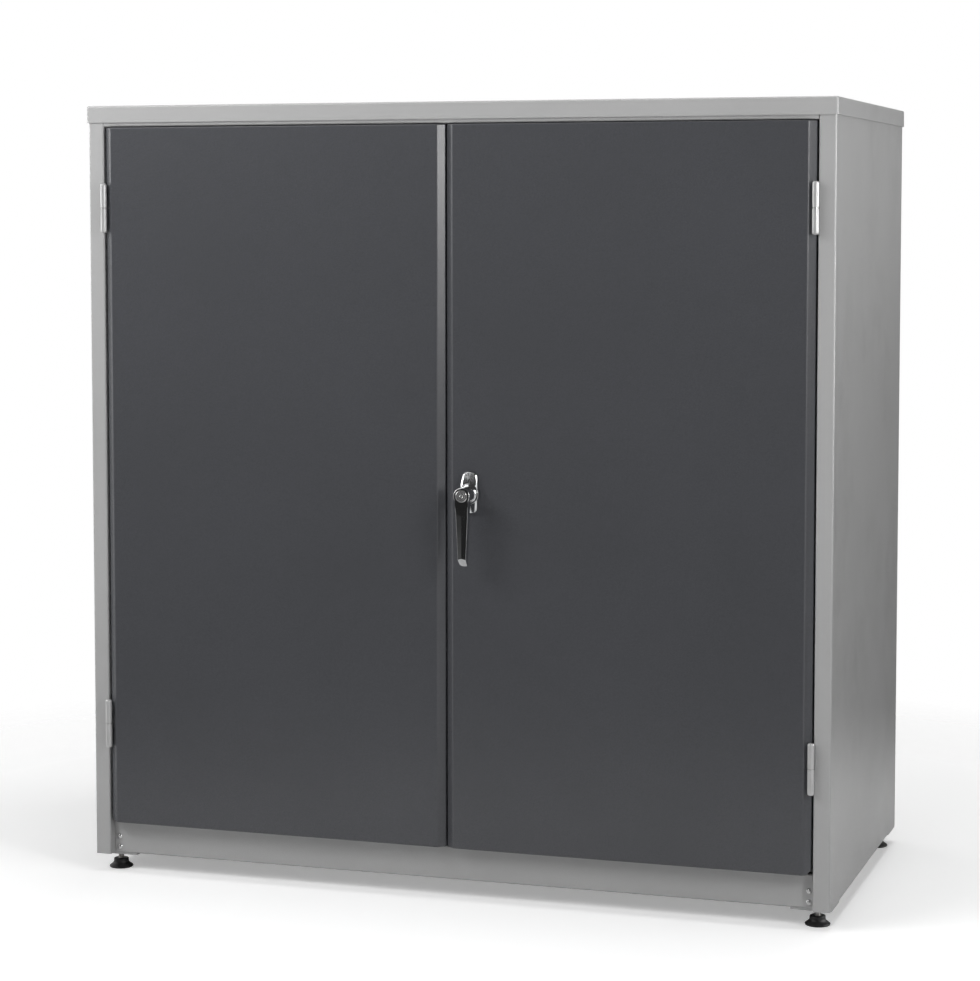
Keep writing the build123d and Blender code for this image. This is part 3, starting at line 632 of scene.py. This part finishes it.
def plinth_screws():
    """Dome-headed screws with a cross recess."""
    head_radius = 3.6 * mm
    dome_radius = 6.2 * mm
    dome_top = plinth_front - 2.2 * mm
    dome_swing = 26                 # degrees
    rim_front = plinth_front - 0.7 * mm
    shank_radius = 2 * mm
    shank_end = plinth_front + 10 * mm
    shank_chamfer = 0.4 * mm
    dome = arc((0, dome_top + dome_radius), dome_radius, -90, -90 + dome_swing, 6)
    rim = [(head_radius - 0.25 * mm, rim_front - 0.25 * mm), (head_radius, rim_front),
           (head_radius, plinth_front)]
    shank = [(shank_radius, plinth_front), (shank_radius, shank_end - shank_chamfer),
             (shank_radius - shank_chamfer, shank_end), (0, shank_end)]
    screw = turned("screw", dome + rim + shank, "Y", (0, 0), 32)
    arm_length = 2.0 * mm
    arm_half_width = 0.42 * mm
    recess_floor = plinth_front - 1.0 * mm
    for a, b in ((arm_half_width, arm_length), (arm_length, arm_half_width)):
        cut(screw, start_box("cross cutter", (-a, plinth_front - 3 * mm, -b),
                             (a, recess_floor, b)))
    column = stile_edge - seat - 6.5 * mm
    heads = [copied(screw, "screw copy", (hand * column, 0, body_bottom + rise))
             for hand in (-1, 1) for rise in (8 * mm, 22 * mm)]
    bpy.data.objects.remove(screw)
    screws = joined("plinth_screw_heads", heads)
    smooth(screws)
    place(screws, "cabinet", screw_steel, "bright_screw", "plinth_screws")


top_cap()
side_panel(-1, "left_side")
side_panel(1, "right_side")
top_rail()
plinth_rail()
plinth_screws()


# ---------------------------------------------------------------- doors
def door(hand, name, body, node):
    """A pan with bevels down both upright edges, closed and hemmed at its top and bottom."""
    bevel_width = 10 * mm
    bevel_depth = 8 * mm
    edge_return = 12 * mm           # how far the upright edges turn in behind
    hem_height = 18 * mm
    lap = 0.1 * mm                  # how far the hems run over the turned-in edges
    outer = door_edge - half
    inner = free_edge + half
    rear = door_rear - half
    foot = door_face + bevel_depth
    section = [
        (door_edge - edge_return, rear), (outer, rear), (outer, foot),
        (door_edge - bevel_width, door_face + half), (free_edge + bevel_width, door_face + half),
        (inner, foot), (inner, rear), (free_edge + edge_return, rear)]
    low = door_bottom + half
    high = door_top - half
    pan = folded(name, [(hand * x, y) for x, y in section], "Z", low, high, easy=(2, 3), gauge=0)
    open_up(pan)
    for level in (low, high):
        pick(pan, "EDGE", lambda edge: near(edge.verts[0].co.z, level)
             and near(edge.verts[1].co.z, level) and middle(edge).y < rear - 0.02 * mm)
        bpy.ops.mesh.edge_face_add()
    for level, rounding in ((low, fold * 0.99), (high, half * 1.1)):
        pick(pan, "EDGE", lambda edge: len(edge.link_faces) == 2 and abs(along(edge).z) < 0.1
             and near(middle(edge).z, level) and middle(edge).y < foot + 2 * mm)
        bpy.ops.mesh.bevel(offset=rounding, segments=4, affect="EDGES", clamp_overlap=True)
    for z, up, leg in ((door_bottom, 1, 7 * mm), (door_top, -1, 1.3 * mm)):
        slice_piece((hand * door_edge, 0, z + up * leg), (hand, 0, -up), clear_outer=True)
    face_outward()
    close_up()
    apply_modifier(pan, "SOLIDIFY", thickness=sheet, offset=0, use_even_offset=True)
    hems = []
    ends = sorted((hand * (free_edge + edge_return - lap), hand * (door_edge - edge_return + lap)))
    for level in (door_bottom, door_top - hem_height):
        hem = start_box("hem", (ends[0], door_rear - sheet, level),
                        (ends[1], door_rear, level + hem_height))
        open_up(hem)
        pick(hem, "EDGE", lambda edge: abs(along(edge).x) > 0.9 and middle(edge).y > rear)
        bpy.ops.mesh.bevel(offset=0.6 * mm, segments=3, affect="EDGES")
        close_up()
        hems.append(hem)
    pan = joined(name, [pan, *hems])
    smooth(pan)
    place(pan, body, paint_dark, "anthracite_paint", node)


door(-1, "left_door_pan", "left_door", "left_door_panel")
door(1, "right_door_pan", "right_door", "right_door_panel")


# ---------------------------------------------------------------- hinges
def barrel(name, low, high, round_top):
    """Half a barrel, rounded at its free end, with a bead where the halves meet."""
    radius = 4.25 * mm
    curve = 2.6 * mm
    bead = 0.5 * mm
    if round_top:
        end = arc((radius - curve, high - curve), curve, 0, 90, 8)
        profile = [(0, low), (radius - bead, low), (radius, low + bead), *end, (0, high)]
    else:
        end = arc((radius - curve, low + curve), curve, -90, 0, 8)
        profile = [(0, low), *end, (radius, high - bead), (radius - bead, high), (0, high)]
    return turned(name, profile, "Z", (barrel_x, barrel_y), 48)


def hinges():
    """Four barrel hinges, each a half on the body and a half on the door."""
    leaf = 1.1 * mm
    leaf_back = front + 12 * mm
    leaf_end = 2.6 * mm             # the leaf ends short of the barrel's round end
    long = 32.5 * mm
    apart = 0.6 * mm
    for level, centre in (("upper", upper_hinge_z), ("lower", lower_hinge_z)):
        for part in ("body", "door"):
            on_body = part == "body"
            low = centre - long if on_body else centre + apart
            high = centre - apart if on_body else centre + long
            half_barrel = barrel("barrel", low, high, round_top=not on_body)
            x = stile_edge - leaf if on_body else door_edge
            leaf_low = low + leaf_end if on_body else low
            leaf_high = high if on_body else high - leaf_end
            plate = start_box("leaf", (x, barrel_y, leaf_low), (x + leaf, leaf_back, leaf_high))
            open_up(plate)
            pick(plate, "EDGE", lambda edge: abs(along(edge).x) > 0.9)
            bpy.ops.mesh.bevel(offset=0.5 * mm, segments=3, affect="EDGES")
            close_up()
            right = joined("hinge", [half_barrel, plate])
            left = copied(right, f"left_{level}_hinge_{part}", mirror=True)
            right.name = f"right_{level}_hinge_{part}"
            for hand, piece in (("left", left), ("right", right)):
                smooth(piece)
                body = "cabinet" if on_body else f"{hand}_door"
                place(piece, body, hinge_metal, "zinc_plate",
                      f"{hand}_{level}_hinge_{part}_half")


hinges()


# ---------------------------------------------------------------- handle
def escutcheon():
    """A crowned plate with bowed sides and arched ends, and the boss and neck on it."""
    middle_z = handle_z + 1.5 * mm
    thick = 9 * mm
    thin_end = 4.2 * mm
    side_slope = 2.4 * mm           # width of the bevels along the sides
    end_slope = 1 * mm              # width of the bevels at the ends
    fall = 1.5 * mm                 # how far both fall back
    crown_reach = 9 * mm            # from here the front sinks toward the ends
    crown_step = 2.1 * mm
    crown_power = 1.15
    band = 0.05 * mm                # corners this close in height sink together
    corner_x = 8.9 * mm             # where a side's arc would meet an end's arc
    corner_z = 24.4 * mm
    side_share = 0.92               # of each arc that is kept, the rest being the cut corner
    end_share = 0.8
    wide = 11.3 * mm                # half width and half height of the plate
    tall = 27 * mm
    side_radius = (corner_z ** 2 + (wide - corner_x) ** 2) / (2 * (wide - corner_x))
    end_radius = (corner_x ** 2 + (tall - corner_z) ** 2) / (2 * (tall - corner_z))
    lean = degrees(asin(corner_z / side_radius)) * side_share
    swing = degrees(asin(corner_x / end_radius)) * end_share
    sides = wide - side_radius
    ends = tall - end_radius
    outline = [
        *arc((handle_x + sides, middle_z), side_radius, -lean, lean, 14),
        *arc((handle_x, middle_z + ends), end_radius, 90 - swing, 90 + swing, 10),
        *arc((handle_x - sides, middle_z), side_radius, 180 - lean, 180 + lean, 14),
        *arc((handle_x, middle_z - ends), end_radius, 270 - swing, 270 + swing, 10)]
    plate = slab("plate", outline, door_face, fall - thick)
    pick(plate, "FACE", lambda face: face.normal.y < -0.9)
    bpy.ops.mesh.inset(thickness=side_slope, depth=fall)
    bpy.ops.transform.resize(value=(1, 1, (tall - end_slope) / (tall - side_slope)),
                             center_override=(0, 0, middle_z))
    pick(plate, "EDGE", lambda edge: len(edge.link_faces) == 2
         and 0.3 < edge.calc_face_angle(0) < 1.3 and middle(edge).y < door_face - mm
         and abs(along(edge).y) < 0.2)
    bpy.ops.mesh.bevel(offset=0.3 * mm, segments=2, affect="EDGES")
    for way in (-1, 1):
        for step in range(8):
            out = crown_reach + step * crown_step
            slice_piece((0, 0, middle_z + way * out), (0, 0, 1))

    def band_of(corner):
        return round((abs(corner.co.z - middle_z) - crown_reach) / band)

    bands = {band_of(corner) for corner in bmesh.from_edit_mesh(plate.data).verts}
    for level in sorted(level for level in bands if level > 0):
        share = level * band / (tall - crown_reach)
        pick(plate, "VERT", lambda corner: corner.co.y < door_face - 0.5 * mm
             and band_of(corner) == level)
        sink = (thick - thin_end) * share ** crown_power
        bpy.ops.transform.translate(value=(0, sink, 0))
    close_up()
    boss_radius = 13.3 * mm
    boss_rounding = 0.8 * mm
    boss_front = door_face - 10.2 * mm
    neck_radius = 10.3 * mm
    neck_front = door_face - 17 * mm
    boss = turned("boss", [
        (0, door_face), (boss_radius, door_face),
        (boss_radius, boss_front + 2 * boss_rounding),
        *arc((boss_radius - boss_rounding, boss_front + boss_rounding), boss_rounding,
             0, -90, 5),
        (neck_radius + 0.7 * mm, boss_front - 0.2 * mm),
        (neck_radius + 0.2 * mm, boss_front - 0.7 * mm),
        (neck_radius, neck_front + 0.4 * mm), (neck_radius - 0.4 * mm, neck_front),
        (0, neck_front)], "Y", (handle_x, handle_z), 64)
    piece = joined("handle_plate", [plate, boss])
    smooth(piece, 40)
    place(piece, "right_door", chrome, "chrome", "handle_escutcheon")


def lever_arm():
    """The lever's flat bar: hollowed round the key cylinder, ridged, with a slanted tip."""
    face = hub_front - 0.03 * mm
    depth = 11 * mm
    opening = 8.05 * mm
    root = 8.9 * mm                 # half widths at the hub and at the tip
    tip = 4.9 * mm
    drop = 89.5 * mm
    left_corner = 4 * mm
    right_corner = 1.5 * mm
    ridge_start = 14 * mm
    ridge_drop = 1.6 * mm
    slant_start = 10.5 * mm         # above the tip's end, on the front face
    slant = (0, -1.2, -0.9)
    eased_from = 8.5 * mm           # below the hub the arm's edges are eased
    outline = [
        *arc((0, 0), opening, 0, -180, 16), (-root, 0),
        *arc((left_corner - tip, left_corner - drop), left_corner, 180, 270, 6),
        *arc((tip - right_corner, right_corner - drop), right_corner, 270, 360, 6), (root, 0)]
    arm = slab("arm", [(handle_x + x, handle_z + z) for x, z in outline], face, depth)
    rows = [ridge_start + step * 4 * mm for step in range(4)]
    rows += [rows[-1] + step * 8 * mm for step in range(1, 7)]
    slice_piece((handle_x, 0, 0), (1, 0, 0))
    for row in rows:
        slice_piece((0, 0, handle_z - row), (0, 0, 1))
    for row, share in ((rows[1], 0.4), (rows[2], 0.35), (rows[3], 0.25)):
        pick(arm, "VERT", lambda corner: near(corner.co.y, face, ridge_drop)
             and abs(corner.co.x - handle_x) > mm
             and corner.co.z < handle_z - row + 0.1 * mm)
        bpy.ops.transform.translate(value=(0, ridge_drop * share, 0))
    slice_piece((handle_x, face, handle_z - drop + slant_start), slant,
                use_fill=True, clear_outer=True)
    pick(arm, "EDGE", lambda edge: len(edge.link_faces) == 2
         and edge.calc_face_angle(0) > 0.6 and middle(edge).z < handle_z - eased_from)
    bpy.ops.mesh.bevel(offset=0.2 * mm, segments=2, affect="EDGES", clamp_overlap=True)
    close_up()
    return arm


def lever():
    """A swing lever: a round hub that holds the key cylinder, its arm, and its spigot."""
    hub_radius = 10.7 * mm
    hub_rounding = 1.0 * mm
    bore = 7.6 * mm
    bore_end = hub_front + 12 * mm
    hub = turned("hub", [
        (0, hub_back), (hub_radius - 0.4 * mm, hub_back), (hub_radius, hub_back - 0.5 * mm),
        *arc((hub_radius - hub_rounding, hub_front + hub_rounding), hub_rounding, 0, -90, 5),
        (bore + 0.4 * mm, hub_front), (bore, hub_front + 0.4 * mm), (bore, bore_end),
        (0, bore_end)], "Y", (handle_x, handle_z), 64)
    arm = lever_arm()
    spigot_radius = 8 * mm
    groove_radius = 7 * mm
    groove_front = door_face + 3.7 * mm
    groove_back = door_face + 5 * mm
    spigot_end = door_face + 6 * mm
    spigot = turned("spigot", [
        (0, hub_back), (spigot_radius, hub_back), (spigot_radius, groove_front),
        (groove_radius, groove_front + 0.2 * mm), (groove_radius, groove_back),
        (spigot_radius, groove_back), (spigot_radius, spigot_end), (0, spigot_end)],
        "Y", (handle_x, handle_z), 48)
    piece = joined("swing_lever", [arm, hub, spigot])
    smooth(piece, 20)
    place(piece, "handle", chrome, "chrome", "handle_lever")


def lock_barrel():
    """The key cylinder's ring with its chamfered rim, and the plug with its keyway."""
    face = hub_front - 0.6 * mm
    ring_radius = 7.5 * mm
    ring_chamfer = 0.6 * mm
    ring_depth = 6 * mm
    plug_radius = 5 * mm
    plug_front = face + 0.02 * mm
    plug_depth = 10 * mm
    ring = turned("cylinder_ring", [
        (plug_radius + 0.05 * mm, face + ring_depth), (plug_radius + 0.05 * mm, face + 0.2 * mm),
        (plug_radius + 0.2 * mm, face), (ring_radius - ring_chamfer, face),
        (ring_radius, face + ring_chamfer), (ring_radius, face + ring_depth)],
        "Y", (handle_x, handle_z), 64)
    smooth(ring, 30)
    place(ring, "handle", satin_chrome, "chrome", "lock_cylinder")
    dish = [(0, face + 1.3 * mm), (0.9 * mm, face + 1.2 * mm), (2.3 * mm, face + 0.1 * mm),
            (2.5 * mm, plug_front)]
    plug = turned("key_plug", [
        *dish, (plug_radius - 0.4 * mm, plug_front), (plug_radius, face + 0.4 * mm),
        (plug_radius, face + plug_depth), (0, face + plug_depth)],
        "Y", (handle_x, handle_z), 48)
    key_half_width = 0.7 * mm
    key_half_height = 3.25 * mm
    key_end = face + 8 * mm
    cut(plug,
        start_box("keyway", (handle_x - key_half_width, face - mm, handle_z - key_half_height),
                  (handle_x + key_half_width, key_end, handle_z + key_half_height)),
        start_box("ward", (handle_x - 1.5 * mm, face - mm, handle_z - 0.4 * mm),
                  (handle_x + 0.5 * mm, key_end, handle_z + 1.0 * mm)))
    smooth(plug, 30)
    place(plug, "lock_plug", satin_chrome, "chrome", "lock_plug")


escutcheon()
lever()
lock_barrel()


# ---------------------------------------------------------------- feet
def pad_shape():
    """A foot's pad, flared toward the floor and dished round the stud."""
    base_radius = 16 * mm
    collar_radius = 10 * mm
    height = 12 * mm
    rounding = 1.4 * mm
    flare = [(13.4 * mm, 3.9 * mm), (11.6 * mm, 5.4 * mm), (10.5 * mm, 6.6 * mm),
             (collar_radius, 7.8 * mm)]
    return turned("pad", [
        (0, 0), (base_radius - 0.8 * mm, 0), (base_radius - 0.2 * mm, 0.5 * mm),
        (base_radius, 1.2 * mm),
        *arc((base_radius - 0.8 * mm, 1.6 * mm), 0.8 * mm, 0, 60, 3), *flare,
        (collar_radius, height - rounding),
        *arc((collar_radius - rounding, height - rounding), rounding, 0, 90, 5),
        (4.6 * mm, height), (4.1 * mm, height - 0.4 * mm), (0, height - 0.4 * mm)],
        "Z", (0, 0), 64)


def stud_shape():
    """A foot's threaded stud."""
    pitch = 1.25 * mm
    radius = 4 * mm
    root = radius - 0.7 * mm
    low = 7 * mm
    high = 49 * mm
    thread = [(root, low)]
    level = low + pitch
    while level < high - pitch:
        thread += [(root, level - 0.55 * pitch), (radius - 0.05 * mm, level - 0.1 * pitch),
                   (radius, level), (root, level + 0.4 * pitch)]
        level += pitch
    return turned("stud", [(0, low), *thread, (root, high), (0, high)], "Z", (0, 0), 32)


def feet():
    """Black pads and plated studs at the four corners."""
    pad = pad_shape()
    stud = stud_shape()
    for place_name, x, y in (("front_left", -foot_x, front_foot_y),
                             ("front_right", foot_x, front_foot_y),
                             ("rear_left", -foot_x, rear_foot_y),
                             ("rear_right", foot_x, rear_foot_y)):
        for shape, word, material, slot in ((pad, "pad", black_plastic, "black_plastic"),
                                            (stud, "stud", zinc, "zinc_plate")):
            piece = copied(shape, f"{place_name}_levelling_{word}", (x, y, 0))
            smooth(piece, 40)
            place(piece, f"{place_name}_foot", material, slot, f"{place_name}_foot_{word}")
    bpy.data.objects.remove(pad)
    bpy.data.objects.remove(stud)


feet()


# ---------------------------------------------------------------- floor, light and camera
def seen_directly(tree, path, glossy):
    """One for rays from the camera or through glass, and for reflections where asked."""
    seen = calc(tree, "MAXIMUM", path.outputs["Is Camera Ray"], path.outputs["Is Transmission Ray"])
    if glossy:
        seen = calc(tree, "MAXIMUM", seen, path.outputs["Is Glossy Ray"])
    return seen


def plain_floor():
    """A pale floor that takes the shadow and fades into the white far from the object."""
    bpy.ops.object.select_all(action="DESELECT")
    bpy.ops.mesh.primitive_circle_add(vertices=96, radius=2.6, fill_type="NGON",
                                      location=(0, 0, 0))
    floor = bpy.context.object
    floor.name = "floor"
    material = bpy.data.materials.new("pale floor")
    material.use_nodes = True
    tree = material.node_tree
    tree.nodes.clear()
    fade_start = 0.85
    fade_end = 1.4
    lift_by = 0.34                  # only the camera sees this
    reach = add_node(tree, "ShaderNodeVectorMath", {"operation": "LENGTH"},
                     i0=object_place(tree)).outputs["Value"]
    path = add_node(tree, "ShaderNodeLightPath")
    fade = calc(tree, "MULTIPLY", spread(tree, reach, fade_start, fade_end),
                seen_directly(tree, path, glossy=True))
    lift = calc(tree, "MULTIPLY", path.outputs["Is Camera Ray"], lift_by)
    pale = add_node(tree, "ShaderNodeBsdfDiffuse", Color=(0.9, 0.9, 0.9, 1))
    glow = add_node(tree, "ShaderNodeEmission", Color=(1, 1, 1, 1), Strength=lift)
    lifted = add_node(tree, "ShaderNodeAddShader", i0=pale.outputs[0], i1=glow.outputs[0])
    clear = add_node(tree, "ShaderNodeBsdfTransparent")
    mixed = add_node(tree, "ShaderNodeMixShader", i0=fade, i1=lifted.outputs[0],
                     i2=clear.outputs[0])
    output = add_node(tree, "ShaderNodeOutputMaterial")
    tree.links.new(mixed.outputs[0], output.inputs["Surface"])
    floor.data.materials.append(material)


def ring(tree, share, stops):
    """Brightness round the room, from (angle, level) stops in order of angle."""
    brightest = 2
    ramp = add_node(tree, "ShaderNodeValToRGB", Fac=share)
    marks = ramp.color_ramp.elements
    while len(marks) > 1:
        marks.remove(marks[-1])
    for count, (angle, level) in enumerate(stops):
        position = (angle + 180) / 360
        mark = marks[0] if count == 0 else marks.new(position)
        mark.position = position
        mark.color = (level / brightest, level / brightest, level / brightest, 1)
    return calc(tree, "MULTIPLY", ramp.outputs["Color"], brightest)


def by_height(tree, height, low, high, below, above):
    """A level that goes from one to another between two heights."""
    return add_node(tree, "ShaderNodeMix", {"data_type": "FLOAT"},
                    i0=spread(tree, height, low, high), i2=below, i3=above).outputs[0]


def surroundings(fill_level, floor_fill, room_low, room_high):
    """White behind the object, a studio's room for its gloss, and light off the floor."""
    world = bpy.data.worlds.new("studio")
    bpy.context.scene.world = world
    world.use_nodes = True
    tree = world.node_tree
    tree.nodes.clear()
    path = add_node(tree, "ShaderNodeLightPath")
    direction = add_node(tree, "ShaderNodeTexCoord").outputs["Generated"]
    apart = add_node(tree, "ShaderNodeSeparateXYZ", Vector=direction)
    height = apart.outputs["Z"]
    ahead = calc(tree, "MULTIPLY", apart.outputs["Y"], -1.0)
    round_angle = calc(tree, "ARCTAN2", apart.outputs["X"], ahead)
    share = spread(tree, round_angle, -pi, pi)
    room = by_height(tree, height, -0.06, 0.0, ring(tree, share, room_low),
                     ring(tree, share, room_high))
    ceiling = spread(tree, apart.outputs["X"], -0.75, -0.4, 0.9, 0.06)
    room = by_height(tree, height, 0.1, 0.32, room, ceiling)
    soft = spread(tree, height, -0.05, 0.05, floor_fill, fill_level)
    glossy = add_node(tree, "ShaderNodeBackground", Color=(1, 1, 1, 1), Strength=room)
    fill = add_node(tree, "ShaderNodeBackground", Color=(1, 1, 1, 1), Strength=soft)
    white = add_node(tree, "ShaderNodeBackground", Color=(1, 1, 1, 1), Strength=1.0)
    lit = add_node(tree, "ShaderNodeMixShader", i0=path.outputs["Is Glossy Ray"],
                   i1=fill.outputs[0], i2=glossy.outputs[0])
    shown = add_node(tree, "ShaderNodeMixShader", i0=seen_directly(tree, path, glossy=False),
                     i1=lit.outputs[0], i2=white.outputs[0])
    output = add_node(tree, "ShaderNodeOutputWorld")
    tree.links.new(shown.outputs[0], output.inputs["Surface"])


def soft_light(name, place_at, aim, size, power, gloss=True, diffuse=True):
    """An area lamp that looks at a point.

    Without gloss it shows in no reflection, and without diffuse it shows only there.
    """
    bpy.ops.object.select_all(action="DESELECT")
    bpy.ops.object.light_add(type="AREA", location=place_at)
    lamp = bpy.context.object
    lamp.name = name
    look = Vector(aim) - Vector(place_at)
    lamp.rotation_euler = look.to_track_quat("-Z", "Y").to_euler()
    lamp.data.shape = "RECTANGLE"
    lamp.data.size = size[0]
    lamp.data.size_y = size[1]
    lamp.data.energy = power
    lamp.visible_glossy = gloss
    lamp.visible_diffuse = diffuse


# how bright the room is for gloss, by angle from straight ahead, to the right positive
ahead_room = ((-68, 1.2), (-56, 0.1), (-42, 0.045), (-34, 0.02), (20, 0.02), (32, 1.2),
              (52, 1.2), (62, 0.12), (85, 0.12))
room_level = ((-180, 0.24), (-155, 0.24), (-140, 1.2), *ahead_room, (100, 1.5), (148, 1.5),
              (158, 0.24), (180, 0.24))
room_below = ((-180, 0.0), (-155, 0.0), (-140, 0.6), (-120, 1.1), *ahead_room, (100, 0.3),
              (148, 0.2), (158, 0.0), (180, 0.0))

plain_floor()
surroundings(fill_level=0.02, floor_fill=0.9, room_low=room_below, room_high=room_level)
soft_light("key", (-1.5, -2.3, 2.3), (-0.1, 0, 0.6), (1.4, 1.4), 24)
soft_light("left corner", (-1.25, -1.15, 1.6), (-0.5, -0.2, 0.95), (0.6, 0.6), 9, gloss=False)
soft_light("right strip", (1.87, -1.40, 1.42), (0.0, -0.23, 1.25), (0.38, 1.35), 15)
soft_light("right shine", (1.87, -1.40, 1.52), (0.0, -0.23, 1.35), (0.38, 1.15), 13,
           diffuse=False)
soft_light("left strip", (-2.2, -0.6, 1.2), (0, 0, 0.5), (0.5, 1.6), 4)
soft_light("left shine", (-2.2, -0.6, 1.5), (0, -0.2, 1.0), (0.5, 1.2), 12, diffuse=False)
soft_light("overhead", (0.3, 0.1, 2.9), (0, 0, 0), (1.6, 1.6), 50, gloss=False)
soft_light("rear right", (2.2, 0.3, 2.2), (0.45, 0, 0.8), (0.8, 0.8), 3.5, gloss=False)
soft_light("edge shine", (2.3, 0.35, 0.95), (0.5, -0.23, 0.8), (1.5, 1.2), 44, diffuse=False)


def photo_camera():
    """The photograph's viewpoint, found from the cabinet's corners in it."""
    photo_width = 980               # in pixels, as the next two
    focal_length = 2631.0
    optical_centre_rise = 90.5      # how far the picture's middle lies under the lens's
    tilt_down = 4.064
    turn_left = 17.948
    data = bpy.data.cameras.new("camera")
    camera = bpy.data.objects.new("camera", data)
    bpy.context.scene.collection.objects.link(camera)
    data.sensor_fit = "HORIZONTAL"
    data.sensor_width = 36.0
    data.lens = focal_length / photo_width * data.sensor_width
    data.shift_y = -optical_centre_rise / photo_width
    camera.location = (1.0817, -3.3843, 0.8833)
    camera.rotation_euler = (radians(90 - tilt_down), 0, radians(turn_left))
    bpy.context.scene.camera = camera


photo_camera()
bpy.context.scene.view_settings.view_transform = "Standard"
